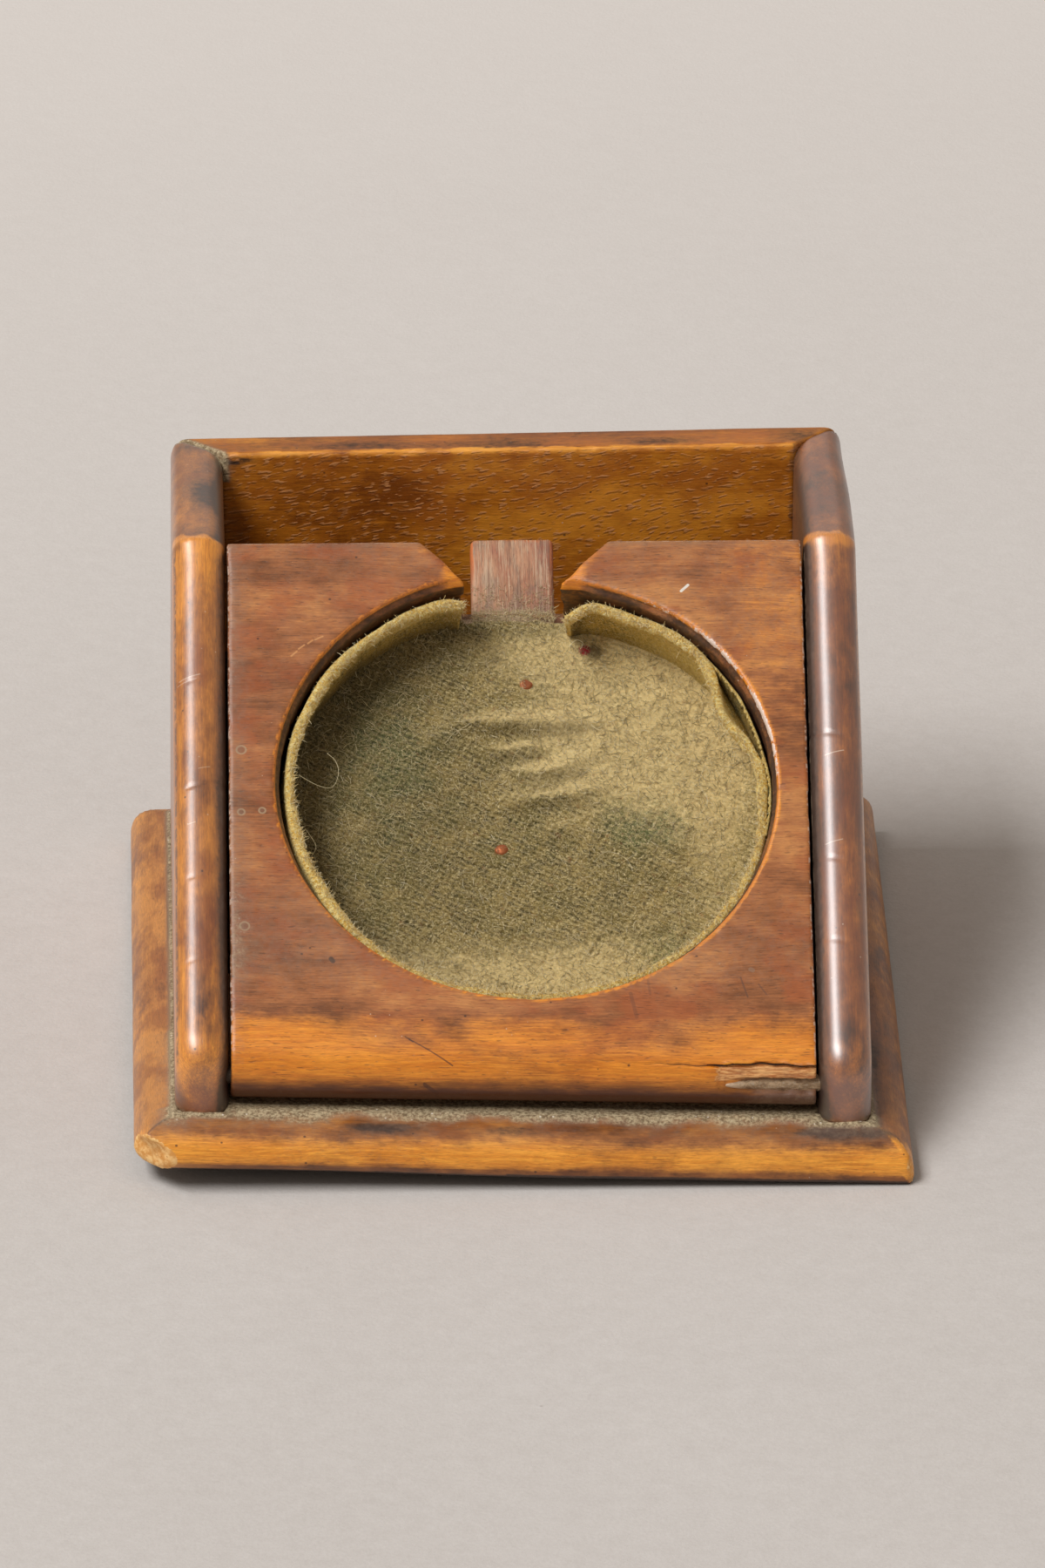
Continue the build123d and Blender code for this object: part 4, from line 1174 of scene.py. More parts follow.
# ------------------------------------------------------------------ small wooden pieces
def box_piece(name, node, lo, hi, r, h, material, body, slot, seed, fine=0.04, **kw):
    base = f_box(lo, hi, r)

    def f(x, s, n):
        return base(x, s, n) + fine * fbm(x * 0.4, s * 0.25, n * 0.4, 3, seed)

    pad = 3 * h
    V, Q = surface_nets(base, np.array(lo) - pad, np.array(hi) + pad, h)
    V, N = project(f, V)
    cv = convexity(base, V, N, 0.8)
    attrs = base_attrs(V, N, None, wear=kw.get("wear", 0.2) + 0.8 * smooth(0.1, 0.35, cv), dark=np.full(len(V), kw.get("dark", 0.2)), gco=np.stack([V[:, 1], V[:, 0], V[:, 2]], -1) if kw.get("along", "s") == "s" else V)
    for k, v in kw.get("attrs", lambda V, N: {})(V, N).items():
        attrs[k] = v
    return make(name, to_world(*V.T), Q, material, body, slot, node, attrs)


def lath_attrs(V, N):
    x, s, n = V.T
    edge = smooth(3.9, 4.5, np.abs(x)) + smooth(72.3, 73.2, s)
    return {
        "wear": 0.7 * np.clip(edge, 0, 1) * smooth(0.1, 0.9, 0.5 + noise(x, s * 0.4, n, 101)),
        # darker towards the top end; painted shade on every face that doesn't face out
        "dark": 0.30 * smooth(69.5, 73, s) + 0.35 * (N[:, 2] < 0.5),
        "dust": 0.55 * smooth(66.5, 62.2, s) + 0.10,
    }


box_piece("tongue_lath_wood", "tongue_lath", (-4.42, 26.0, -15.2), (4.62, 73.3, -12.7), 0.60, 0.30, MAT_LATH, "leaf", "lath_wood", 102, 0.05, attrs=lath_attrs)
# painted shade: the recess floor is darkened to read as the dark gap at the lath foot
box_piece("recess_floor_wood", "recess_floor", (-28.6, 6.6, -12.7), (28.6, 62.4, -10.7), 0.30, 0.5, MAT_INNER, "leaf", "inner_wood", 103, 0.05, along="x", dark=0.75)
box_piece("left_stop_wood", "left_stop", (-31.4, 18.0, -13.35), (-29.1, 58.0, -10.75), 0.25, 0.3, MAT_INNER, "case", "inner_wood", 104, 0.05)
box_piece("right_stop_wood", "right_stop", (29.1, 18.0, -13.35), (31.4, 58.0, -10.75), 0.25, 0.3, MAT_INNER, "case", "inner_wood", 105, 0.05)


# ------------------------------------------------------------------ metal
def metal(name, tint, rust, rough=0.45, amount=0.5):
    g = Graph(name)
    co = g.attr("gco", "Vector")
    a = g.noise(co, 0.9, 4.0, 0.65)
    b = g.noise(co, 4.5, 3.0, 0.6)
    m = g.remap(g.math("ADD", a, g.math("MULTIPLY", b, 0.25)), 0.50 + 0.2 * (1 - amount), 0.78, 0.0, 1.0)
    col = g.mix(m, g.mix(b, lin(*tint), lin(*[c * 0.7 for c in tint])), lin(*rust))
    g.put(g.bsdf, "Base Color", col)
    g.put(g.bsdf, "Metallic", g.math("SUBTRACT", 0.75, g.math("MULTIPLY", m, 0.7)))
    g.put(g.bsdf, "Roughness", g.math("ADD", rough, g.math("MULTIPLY", m, 0.35)))
    g.put(g.bsdf, "Normal", g.bump(g.math("ADD", a, b), 0.5, 0.0001))
    return g.mat


MAT_IRON = metal("old_iron", (150, 138, 122), (104, 80, 60), 0.5, 0.7)
MAT_PIN = metal("copper_pins", (204, 122, 76), (150, 84, 50), 0.5, 0.4)


def nail_material():
    """Dull iron under dust, with the cut point paler; one channel turns a nail near black as painted shade."""
    g = Graph("dusty_nail")
    co = g.attr("gco", "Vector")
    a = g.grain(co, (0.7, 1.4, 1.4), 4.0, 0.65)
    b = g.grain(co, (2.6, 4.5, 4.5), 3.0, 0.65)
    col = g.mix(g.remap(a, 0.38, 0.62), lin(150, 122, 92), lin(200, 172, 138))
    col = g.mix(g.remap(b, 0.52, 0.66, 0.0, 0.8), col, lin(190, 172, 148))
    col = g.mix(g.remap(b, 0.44, 0.34, 0.0, 0.45), col, lin(76, 56, 38))
    col = g.mix(g.remap(g.add(g.attr("tip"), (a, 0.5, 0.8)), 0.40, 0.85), col, lin(210, 184, 158))
    # painted shade: a nail is turned near black where it sits in a shaded gap
    col = g.mix(g.math("MULTIPLY", g.attr("deep"), 0.92), col, lin(38, 25, 16))
    g.put(g.bsdf, "Base Color", col)
    g.bsdf.inputs["Metallic"].default_value = 0.15
    g.bsdf.inputs["Roughness"].default_value = 0.7
    g.put(g.bsdf, "Normal", g.bump(g.add(a, b), 0.6, 0.0001))
    return g.mat


MAT_NAIL = nail_material()


def lathe(profile, steps=28, wob=0.0, seed=0):
    """Rings of (along, radius) round the first axis."""
    prof = np.array(profile, float)
    ang = np.linspace(0, 2 * np.pi, steps, endpoint=False)
    P = []
    for a, r in prof:
        rr = r * (1 + wob * noise(np.cos(ang) * 1.3 + a * 0.6, np.sin(ang) * 1.3, 0 * ang + a * 0.4, seed))
        P.append(np.stack([np.full(steps, a), rr * np.cos(ang), rr * np.sin(ang)], -1))
    P = np.concatenate(P)
    F = []
    k = len(prof)
    for i in range(k - 1):
        for j in range(steps):
            j2 = (j + 1) % steps
            F.append((i * steps + j, i * steps + j2, (i + 1) * steps + j2, (i + 1) * steps + j))
    c0, c1 = len(P), len(P) + 1
    P = np.concatenate([P, [[prof[0, 0], 0, 0], [prof[-1, 0], 0, 0]]])
    faces = [list(q) for q in F]
    for j in range(steps):
        j2 = (j + 1) % steps
        faces.append([c0, j2, j])
        faces.append([c1, (k - 1) * steps + j, (k - 1) * steps + j2])
    return P, faces


def raw_make(name, P, faces, *rest, **kw):
    class L(list):
        def tolist(self):
            return list(self)

    return make(name, P, L(faces), *rest, **kw)


def pivot_nail(side):
    name = "left" if side < 0 else "right"
    prof = [(36.9, 0.001), (36.9, 0.9), (36.75, 1.18), (36.5, 1.25), (36.25, 1.2), (36.2, 0.9)]
    prof += [(v, 0.88) for v in np.linspace(35.5, 28.0, 17)]
    prof += [(27.2, 0.86), (26.3, 0.81), (25.4, 0.74), (24.5, 0.65), (23.6, 0.54), (22.8, 0.43), (22.1, 0.32), (21.5, 0.21), (21.1, 0.13), (20.9, 0.05)]
    P, F = lathe(prof, 28, 0.05, 111)
    # the point is cut on a slant and leans forward
    lean = 0.35 * smooth(33.0, 26.0, P[:, 0]) + 0.85 * smooth(26.5, 21.2, P[:, 0])
    if side < 0:
        lean = 0 * lean
    Q = np.stack([side * P[:, 0], -39.6 + P[:, 1] - lean, 8.7 + P[:, 2] + 0.12 * lean], -1)
    if side > 0:
        F = [f[::-1] for f in F]
    tip = 0.75 * smooth(26.5, 21.0, P[:, 0])
    # the left nail gets painted shade, near black, so it reads as the dark gap beside the panel
    raw_make(name + "_pivot_nail_iron", Q, F, MAT_NAIL, "case", "iron", name + "_pivot_nail", {"gco": P, "tip": tip, "deep": np.full(len(P), 1.0 if side < 0 else 0.0)})


pivot_nail(-1)
pivot_nail(1)

pins_P, pins_F = [], []
for k, (px, ps) in enumerate(((1.25, 52.6), (-1.7, 31.7))):
    prof = [(-9.50, 0.001), (-9.52, 0.35), (-9.60, 0.62), (-9.75, 0.74)] + [(v, 0.74) for v in (-10.5, -12.0, -13.5, -15.2)]
    P, F = lathe(prof, 20, 0.14, 120 + k)
    W = to_world(px + P[:, 1], ps + P[:, 2], P[:, 0])
    off = sum(len(p) for p in pins_P)
    pins_F += [[i + off for i in f] for f in F]
    pins_P.append(W)
PP = np.concatenate(pins_P)
raw_make("tongue_pins_copper", PP, pins_F, MAT_PIN, "leaf", "copper_pin", "tongue_pins", {"gco": PP})

nails_P, nails_F = [], []
for k, (bx, by) in enumerate((a, b) for a in (-34.3, 34.3) for b in (-26.0, 24.0)):
    prof = [(0.3, 0.001), (0.3, 1.1), (0.42, 1.42), (0.6, 1.5), (0.8, 1.45), (0.82, 0.8), (6.0, 0.8), (14.0, 0.8), (15.6, 0.3), (16.4, 0.08)]
    P, F = lathe(prof, 24, 0.06, 130 + k)
    W = np.stack([bx + P[:, 1], by + P[:, 2], P[:, 0]], -1)
    off = sum(len(p) for p in nails_P)
    nails_F += [[i + off for i in f] for f in F]
    nails_P.append(W)
PP = np.concatenate(nails_P)
raw_make("base_nails_iron", PP, nails_F, MAT_IRON, "case", "iron", "base_nails", {"gco": PP})


# ------------------------------------------------------------------ felt
def felt_material(name, strip=False):
    g = Graph(name)
    co = g.attr("gco", "Vector")
    green, straw, shade, cream = (g.attr(k) for k in ("green", "straw", "shade", "cream"))
    mott = g.grain(co, (0.22, 0.22, 0.22), 4.0, 0.6)
    mid = g.grain(g.vec("ADD", co, (4.0, 8.0, 2.0)), (0.7, 0.7, 0.7), 4.0, 0.65)
    tuft = g.noise(co, 1.9, 4.0, 0.7, 0.4)
    hair = g.noise(co, 5.0, 3.0, 0.7, 0.8)
    # diagonal ribs of the twill
    d = g.vec("DOT_PRODUCT", co, (0.470, 0.883, 0.0) if not strip else (0.96, 0.0, 0.28))
    wob = g.grain(co, (0.4, 0.4, 0.4), 2.0, 0.5)
    rib = g.math("SINE", g.math("MULTIPLY", g.math("ADD", d, g.math("MULTIPLY", wob, 1.1)), 2 * math.pi / 0.62))
    e = g.vec("DOT_PRODUCT", co, (0.883, -0.470, 0.0) if not strip else (-0.28, 0.0, 0.96))
    knot = g.math("SINE", g.math("MULTIPLY", g.math("ADD", e, g.math("MULTIPLY", tuft, 0.6)), 2 * math.pi / 0.80))
    weave = g.math("ADD", g.math("MULTIPLY", rib, 0.7), g.math("MULTIPLY", knot, 0.3))
    lay = g.remap(mid, 0.40, 0.60, 0.55, 1.0)
    weave = g.math("MULTIPLY", weave, lay)
    if strip:
        col = g.mix(g.remap(mott, 0.36, 0.64), lin(236, 194, 92), lin(198, 162, 70))
        col = g.mix(g.remap(mid, 0.50, 0.66, 0.0, 0.60), col, lin(128, 106, 42))
    else:
        col = g.mix(g.remap(mott, 0.36, 0.64), lin(176, 152, 92), lin(136, 120, 68))
        col = g.mix(g.remap(mid, 0.50, 0.64, 0.0, 0.70), col, lin(92, 82, 44))
    gm = g.remap(g.add(green, (mott, 0.5, 0.8), (mid, 0.5, 0.8)), 0.20, 1.0, 0.0, 0.78)
    col = g.mix(gm, col, lin(94, 116, 74))
    st = g.remap(g.add(straw, (tuft, 0.5, 1.3), (mid, 0.5, 0.8)), 0.22, 1.0, 0.0, 0.92)
    col = g.mix(st, col, lin(255, 226, 158) if not strip else lin(255, 224, 132))
    k = 1.0 if not strip else 0.45
    calm = g.remap(straw, 0.10, 0.80, 1.0, 0.35)
    # the twill: painted shade in the gaps and painted highlight on the rib tops
    col = g.mix(g.math("MULTIPLY", g.remap(weave, -0.15, -0.85, 0.0, 0.66 * k), calm), col, lin(60, 54, 28))
    col = g.mix(g.remap(weave, 0.15, 0.85, 0.0, 0.50 * k), col, lin(230, 206, 146))
    col = g.mix(g.remap(hair, 0.53, 0.64, 0.0, 0.85), col, lin(248, 230, 178))
    col = g.mix(g.math("MULTIPLY", g.remap(hair, 0.465, 0.34, 0.0, 0.80), calm), col, lin(44, 40, 24))
    rust = g.grain(g.vec("ADD", co, (11, 7, 3)), (1.0, 1.0, 1.0), 3.0, 0.6)
    col = g.mix(g.remap(rust, 0.60, 0.72, 0.0, 0.40), col, lin(158, 98, 56))
    col = g.mix(g.math("MULTIPLY", shade, 0.85), col, lin(46, 38, 18))
    cm = g.remap(g.add(cream, (tuft, 0.5, 0.6)), 0.35, 0.70, 0.0, 1.0)
    cc = g.mix(g.remap(hair, 0.38, 0.62), lin(228, 180, 78), lin(255, 236, 164))
    col = g.mix(cm, col, cc)
    if not strip:
        red = g.math("ADD", g.vec("DISTANCE", co, (7.7, 57.0, 0.0)), g.math("MULTIPLY", g.math("SUBTRACT", hair, 0.5), 0.8))
        fl = g.mix(g.remap(hair, 0.36, 0.62), lin(140, 112, 88), lin(216, 186, 156))
        col = g.mix(g.remap(g.add(g.attr("fluff"), (tuft, 0.5, 0.7)), 0.25, 0.75), col, fl)
        smear = g.vec("DISTANCE", co, (8.7, 56.8, 0.0))
        col = g.mix(g.remap(smear, 0.5, 1.3, 0.7, 0.0), col, lin(64, 44, 26))
        col = g.mix(g.remap(red, 0.50, 0.75, 0.95, 0.0), col, lin(176, 34, 54))
    g.put(g.bsdf, "Base Color", col)
    g.bsdf.inputs["Roughness"].default_value = 0.95
    g.bsdf.inputs["Specular IOR Level"].default_value = 0.10
    g.bsdf.inputs["Sheen Weight"].default_value = 0.14 if strip else 0.36
    g.bsdf.inputs["Sheen Roughness"].default_value = 0.5
    g.bsdf.inputs["Sheen Tint"].default_value = lin(226, 210, 168)
    h = g.add(g.math("MULTIPLY", weave, 0.45 * k), g.math("MULTIPLY", hair, 0.9), g.math("MULTIPLY", tuft, 1.1))
    g.put(g.bsdf, "Normal", g.bump(h, 1.0, 0.00028))
    return g.mat


MAT_FELT = felt_material("felt")
MAT_STRIP = felt_material("felt_strip", True)


def fibre_material(name, stops, dull=0.35):
    g = Graph(name)
    col = g.ramp(g.attr("pick"), [(q, lin(*c)) for q, c in stops])
    col = g.mix(g.remap(g.grain(g.attr("gco", "Vector"), (2.0, 2.0, 2.0), 2.0, 0.5), 0.3, 0.7, 0.0, dull), col, lin(130, 112, 70))
    g.put(g.bsdf, "Base Color", col)
    g.bsdf.inputs["Roughness"].default_value = 0.75
    g.bsdf.inputs["Sheen Weight"].default_value = 0.3
    return g.mat


MAT_FIBRE = fibre_material("felt_fibres", ((0.0, (104, 92, 50)), (0.35, (176, 156, 98)), (0.7, (232, 210, 152)), (1.0, (252, 240, 200))))
MAT_FRAY = fibre_material("frayed_threads", ((0.0, (214, 178, 100)), (0.5, (240, 214, 146)), (1.0, (255, 246, 206))), 0.1)


def felt_relief(x, s):
    """Height of the cloth on the floor of the recess above its flat level."""
    r = np.hypot(x - HOLE[0], s - HOLE[1])
    h = 0.10 * fbm(x * 0.10, s * 0.10, 0 * x, 3, 141) + 0.05 * fbm(x * 0.9, s * 0.9, 0 * x, 3, 142)
    for (ax, ay, bx, by, w, k) in ((-6.7, 47.6, 10.3, 47.9, 1.1, 0.60), (0.7, 39.6, 9.3, 44.6, 1.3, 0.40), (-2.0, 37.2, 9.5, 39.4, 1.1, 0.36), (-3.0, 43.9, 4.0, 44.6, 0.9, 0.34), (-7.5, 47.2, -10.5, 43.5, 1.2, 0.28), (-1.5, 41.3, 6.0, 42.0, 0.8, 0.26), (2.0, 33.6, 8.0, 34.9, 1.2, 0.18)):
        ex, ey = bx - ax, by - ay
        t = np.clip(((x - ax) * ex + (s - ay) * ey) / (ex * ex + ey * ey), 0, 1)
        d = np.hypot(x - ax - ex * t, s - ay - ey * t)
        h = h + k * np.exp(-((d / w) ** 2)) * np.sin(np.clip(t, 0.02, 0.98) * np.pi) ** 0.5
    h = h + 0.05 * noise(x * 2.2, s * 2.2, 0 * x, 144)
    h = h + 0.55 * smooth(22.8, 26.6, r) ** 1.6 * (1 - 0.95 * smooth(8.0, 5.5, np.abs(x)) * (s > HOLE[1]))
    return h


def square_to_disc(u, v):
    """Concentric map of the square -1..1 onto the unit disc."""
    a = np.abs(u) > np.abs(v)
    r = np.where(a, u, v)
    with np.errstate(divide="ignore", invalid="ignore"):
        phi = np.where(a, np.pi / 4 * np.nan_to_num(v / u), np.pi / 2 - np.pi / 4 * np.nan_to_num(u / v))
    return r * np.cos(phi), r * np.sin(phi)


def grid_faces(nu, nv, start=0):
    i = np.arange(nu - 1)[:, None] * nv + np.arange(nv - 1)[None, :]
    i = i.ravel() + start
    return np.stack([i, i + nv, i + nv + 1, i + 1], 1)


NG = 290
u, v = np.meshgrid(np.linspace(-1, 1, NG), np.linspace(-1, 1, NG), indexing="ij")
dx, dy = square_to_disc(u.ravel(), v.ravel())
fx, fs = HOLE[0] + 27.0 * dx, HOLE[1] + 27.0 * dy
shrink = (hole_edge(fx, fs) - 0.07) / 27.0
fx, fs = HOLE[0] + 27.0 * dx * shrink, HOLE[1] + 27.0 * dy * shrink
top_n = -9.72 + felt_relief(fx, fs)
border = np.concatenate([
    np.arange(NG) * NG,
    (NG - 1) * NG + np.arange(1, NG),
    (np.arange(NG - 1)[::-1]) * NG + NG - 1,
    np.arange(1, NG - 1)[::-1],
])
# top, edge, then an underside of two rings and a middle point
nb = len(border)
rings = [(1.0, -10.68), (0.55, -10.68)]
P = [to_world(fx, fs, top_n)]
for k, nn in rings:
    P.append(to_world(HOLE[0] + (fx[border] - HOLE[0]) * k, HOLE[1] + (fs[border] - HOLE[1]) * k, np.full(nb, nn)))
P.append(to_world(np.array([HOLE[0]]), np.array([HOLE[1]]), np.array([-10.68])))
P = np.concatenate(P)
r0 = NG * NG + np.arange(nb)
r1 = r0 + nb
F = np.concatenate([
    grid_faces(NG, NG),
    np.stack([border, r0, np.roll(r0, -1), np.roll(border, -1)], 1),
    np.stack([r0, r1, np.roll(r1, -1), np.roll(r0, -1)], 1),
]).tolist() + [[a, len(P) - 1, b] for a, b in zip(r1.tolist(), np.roll(r1, -1).tolist())]


def blob(x, s, cx, cs, rx, rs, turn=0.0):
    a = math.radians(turn)
    p = (x - cx) * math.cos(a) + (s - cs) * math.sin(a)
    q = -(x - cx) * math.sin(a) + (s - cs) * math.cos(a)
    return np.exp(-((p / rx) ** 2 + (q / rs) ** 2))


def felt_tones(x, s):
    r = np.hypot(x - HOLE[0], s - HOLE[1])
    deg = np.degrees(np.arctan2(x - HOLE[0], s - HOLE[1]))
    green = 0.80 * blob(x, s, -14.5, 44.0, 7.0, 10.0, 20) + 0.60 * blob(x, s, 17.0, 40.0, 4.4, 9.5, -15) + 0.55 * blob(x, s, 13.0, 36.0, 5.0, 4.0)
    green += 0.85 * blob(x, s, 17.0, 17.0, 5.0, 6.0, -40) + 0.40 * blob(x, s, -16.0, 25.0, 6.0, 10.0, -10) + 0.30 * blob(x, s, 3.0, 33.0, 10.0, 5.0)
    # paler yellow cloth, with painted light added at the upper right where the raised cloth catches the light
    straw = 2.3 * blob(x, s, 15.5, 49.0, 9.0, 10.0, 40) + 1.15 * smooth(23.0, 13.0, s) * (1 - 0.8 * blob(x, s, 17.0, 17.0, 5.0, 6.0, -40))
    straw += 0.50 * blob(x, s, 22.0, 33.0, 4.5, 10.0) + 0.35 * blob(x, s, 3.0, 48.2, 9.0, 1.5) + 0.32 * blob(x, s, 5.0, 41.5, 9.0, 5.0)
    straw += 0.60 * blob(x, s, 3.0, 56.5, 9.0, 3.2) + 0.12
    shade = 0.62 * smooth(17.0, 25.5, r) * smooth(10, -50, deg) * (s > 14) * smooth(-178, -140, deg)
    shade += 0.36 * blob(x, s, -13.0, 38.0, 9.0, 16.0, 10) + 0.25 * blob(x, s, -1.0, 59.3, 7.0, 0.8)
    # folds: painted highlight on the upper side, painted shade on the lower
    up = (felt_relief(x, s + 0.35) - felt_relief(x, s - 0.35)) * (r < 21.5)
    shade += np.clip(up * 1.9, 0, 0.5)
    straw += np.clip(-up * 2.2, 0, 0.5)
    straw += 0.22 * smooth(-6.0, 12.0, x) * smooth(30.0, 22.0, s)
    return green, straw, shade


gr, floor_straw_and_light, shd = felt_tones(fx, fs)
gco = np.stack([fx, fs, np.zeros_like(fx)], -1)
fluff = smooth(60.2, 60.9, fs + 0.25 * noise(fx * 0.8, 0 * fx, 0 * fx, 143)) * smooth(6.0, 5.0, np.abs(fx))


def whole(a):
    return np.concatenate([a, a[border], a[border], a[:1]])


felt_floor = raw_make(
    "felt_floor_cloth", P, F, MAT_FELT, "leaf", "felt", "felt_floor",
    {"gco": whole(gco), "green": whole(gr), "straw": whole(floor_straw_and_light), "shade": whole(shd), "cream": whole(0 * fx), "fluff": whole(fluff)},
)

# ---- the strip round the wall
T0, T1 = 12.0, 344.8
NT, NH = 640, 24


def bell(deg, at, width):
    return np.exp(-(((deg - at) / width) ** 2))


def strip_line(t, h):
    """Middle surface of the strip: x, s, n for t along (clockwise from the notch) and h up."""
    deg = T0 + (T1 - T0) * t
    th = np.radians(deg)
    H = 6.75 + 0.22 * noise(t * 9, 0 * t, 0 * t, 151) + 0.13 * noise(t * 38, 0 * t, 0 * t, 152) + 0.05 * noise(t * 130, 0 * t, 0 * t, 159)
    H = H + 0.42 * smooth(215, 240, deg) - 0.45 * bell(deg, 338, 14) - 0.3 * bell(deg, 20, 9) - 0.3 * bell(deg, 80, 18)
    lean = 0.40 + 0.08 * noise(t * 7, 0 * t, 0 * t, 153) + 0.10 * noise(t * 24, 0 * t, 0 * t, 160)
    lean = lean + 0.66 * smooth(218, 246, deg) + 0.20 * bell(deg, 322, 14) + 0.62 * bell(deg, 34, 16)
    lean = lean + 2.7 * bell(deg, 66, 12) + 0.5 * bell(deg, 92, 12)
    curl = 2.8 * bell(deg, T0, 4.0) + 0.6 * bell(deg, T1, 3.5)
    ripple = 0.14 * noise(t * 26, h * 1.6, 0 * t, 154)
    base = hole_edge(HOLE[0] + np.sin(th), HOLE[1] + np.cos(th)) - 0.62
    R = base - lean * np.clip(h, 0, 2) ** 1.5 - ripple * h - curl * (0.25 + 0.75 * h)
    return HOLE[0] + R * np.sin(th), HOLE[1] + R * np.cos(th), -9.60 + H * h


def lining_line(t, h):
    """The outer layer at the right, left against the wall where the strip has come away."""
    deg = 42.0 + 60.0 * t
    th = np.radians(deg)
    H = 6.60 + 0.25 * noise(t * 4, 0 * t, 0 * t, 161) + 0.10 * noise(t * 14, 0 * t, 0 * t, 162)
    base = hole_edge(HOLE[0] + np.sin(th), HOLE[1] + np.cos(th)) - 0.45
    R = base - (0.35 + 0.25 * noise(t * 5, 0 * t, 0 * t, 163) + 0.3 * bell(deg, 70, 8)) * np.clip(h, 0, 2) ** 1.5
    return HOLE[0] + R * np.sin(th), HOLE[1] + R * np.cos(th), -9.60 + H * h


def thick_band(line, nt, nh, thickness, seed, crust=0.0):
    tg, hg = np.meshgrid(np.linspace(0, 1, nt), np.linspace(0, 1, nh), indexing="ij")
    tf, hf = tg.ravel(), hg.ravel()
    M = np.stack(line(tf, hf), -1)
    e = 1e-3
    A = np.stack(line(np.clip(tf + e, 0, 1), hf), -1) - np.stack(line(np.clip(tf - e, 0, 1), hf), -1)
    B = np.stack(line(tf, hf + 0.01), -1) - np.stack(line(tf, hf - 0.01), -1)
    NN = np.cross(A, B)
    NN /= np.linalg.norm(NN, axis=1)[:, None]
    inward = np.stack([HOLE[0] - M[:, 0], HOLE[1] - M[:, 1], 0 * tf], -1)
    NN *= np.sign((NN * inward).sum(1))[:, None]
    half = thickness * (1 + 0.07 * noise(tf * 120, hf * 6, 0 * tf, seed))
    half = half * (1 + crust * smooth(0.74, 0.92, hf) * (0.8 + 0.5 * noise(tf * 70, hf * 3, 0 * tf, seed + 3)))
    half = half * np.sqrt(np.clip(1 - np.clip((hf - 0.93) / 0.07, 0, 1) ** 2, 0.10, 1))
    fuzz = 0.05 * noise(tf * 300, hf * 12, 0 * tf, seed + 1) + 0.17 * noise(tf * 130, hf * 7, 0 * tf, seed + 2) * smooth(0.72, 0.9, hf)
    IN = M + NN * (half + fuzz)[:, None]
    OUT = M - NN * half[:, None]
    for S_ in (IN, OUT):
        ro = np.hypot(S_[:, 0] - HOLE[0], S_[:, 1] - HOLE[1])
        lip = 0.45 * smooth(-1.55, -2.5, S_[:, 2]) * smooth(-5.4, -3.6, S_[:, 2])
        k = np.minimum(1, (hole_edge(S_[:, 0], S_[:, 1]) - lip - 0.06) / ro)
        S_[:, 0] = HOLE[0] + (S_[:, 0] - HOLE[0]) * k
        S_[:, 1] = HOLE[1] + (S_[:, 1] - HOLE[1]) * k
    m = nt * nh
    ti = np.arange(nt - 1)
    low, high = ti * nh, ti * nh + nh - 1
    hi_ = np.arange(nh - 1)
    last = (nt - 1) * nh
    F = np.concatenate([
        grid_faces(nt, nh),
        grid_faces(nt, nh, m)[:, ::-1],
        np.stack([high, high + nh, high + nh + m, high + m], 1),
        np.stack([low, low + m, low + nh + m, low + nh], 1),
        np.stack([hi_, hi_ + 1, hi_ + 1 + m, hi_ + m], 1),
        np.stack([last + hi_, last + hi_ + m, last + hi_ + 1 + m, last + hi_ + 1], 1),
    ])
    return np.concatenate([IN, OUT]), F, tf, hf


S1, F1, tf, hf = thick_band(strip_line, NT, NH, 0.41, 155, 0.5)
S2, F2, tb, hb = thick_band(lining_line, 170, NH, 0.20, 157)
deg = T0 + (T1 - T0) * tf
up_edge = hf + 0.07 * noise(tf * 70, 0 * tf, 0 * tf, 157) + 0.05 * noise(tf * 240, hf * 9, 0 * tf, 164) + 0.05 * smooth(215, 240, deg)
cream = smooth(0.72, 0.84, up_edge) * (1.1 - 0.45 * bell(deg, 150, 30) - 0.25 * bell(deg, 200, 25))
cream = np.maximum(cream, 0.9 * smooth(1.6, 0.3, deg - T0) + 0.6 * smooth(1.2, 0.2, T1 - deg))
# painted light: the strip is paler yellow where the light falls on it at the upper right, and greener where it doesn't
lit = smooth(14, 40, deg) * smooth(170, 110, deg)
strip_straw_and_light = 0.10 + 0.62 * lit + 0.60 * smooth(0.30, 1.0, hf) * smooth(210, 290, deg)
green_s = 0.15 * (1 - lit) * (0.5 + 0.5 * noise(tf * 8, hf * 2, 0 * tf, 158)) + 0.10 * bell(deg, 80, 14)
shade_s = 0.66 * smooth(0.80, 0.10, hf) * smooth(180, 235, deg) * (1 - 0.35 * smooth(300, 335, deg)) + 0.30 * smooth(0.5, 0.0, hf)
shade_s += 0.75 * smooth(6.0, 1.5, deg - T0) * smooth(0.98, 0.80, hf) * smooth(0.0, 1.6, deg - T0)
zb = 0 * tb
cream_b = smooth(0.93, 0.99, hb + 0.02 * noise(tb * 40, 0 * tb, 0 * tb, 165)) * 0.8
arc = math.radians(T1 - T0) * 26.0
gco = np.concatenate([
    np.stack([tf * arc, 0 * tf, hf * 6.3], -1), np.stack([tf * arc, 0.5 + 0 * tf, hf * 6.3], -1),
    np.stack([tb * 28.0, 9.0 + zb, hb * 6.5], -1), np.stack([tb * 28.0, 9.5 + zb, hb * 6.5], -1),
])
gs_b = 0.45 + 0.30 * noise(tb * 6, hb * 1.5, zb, 166)
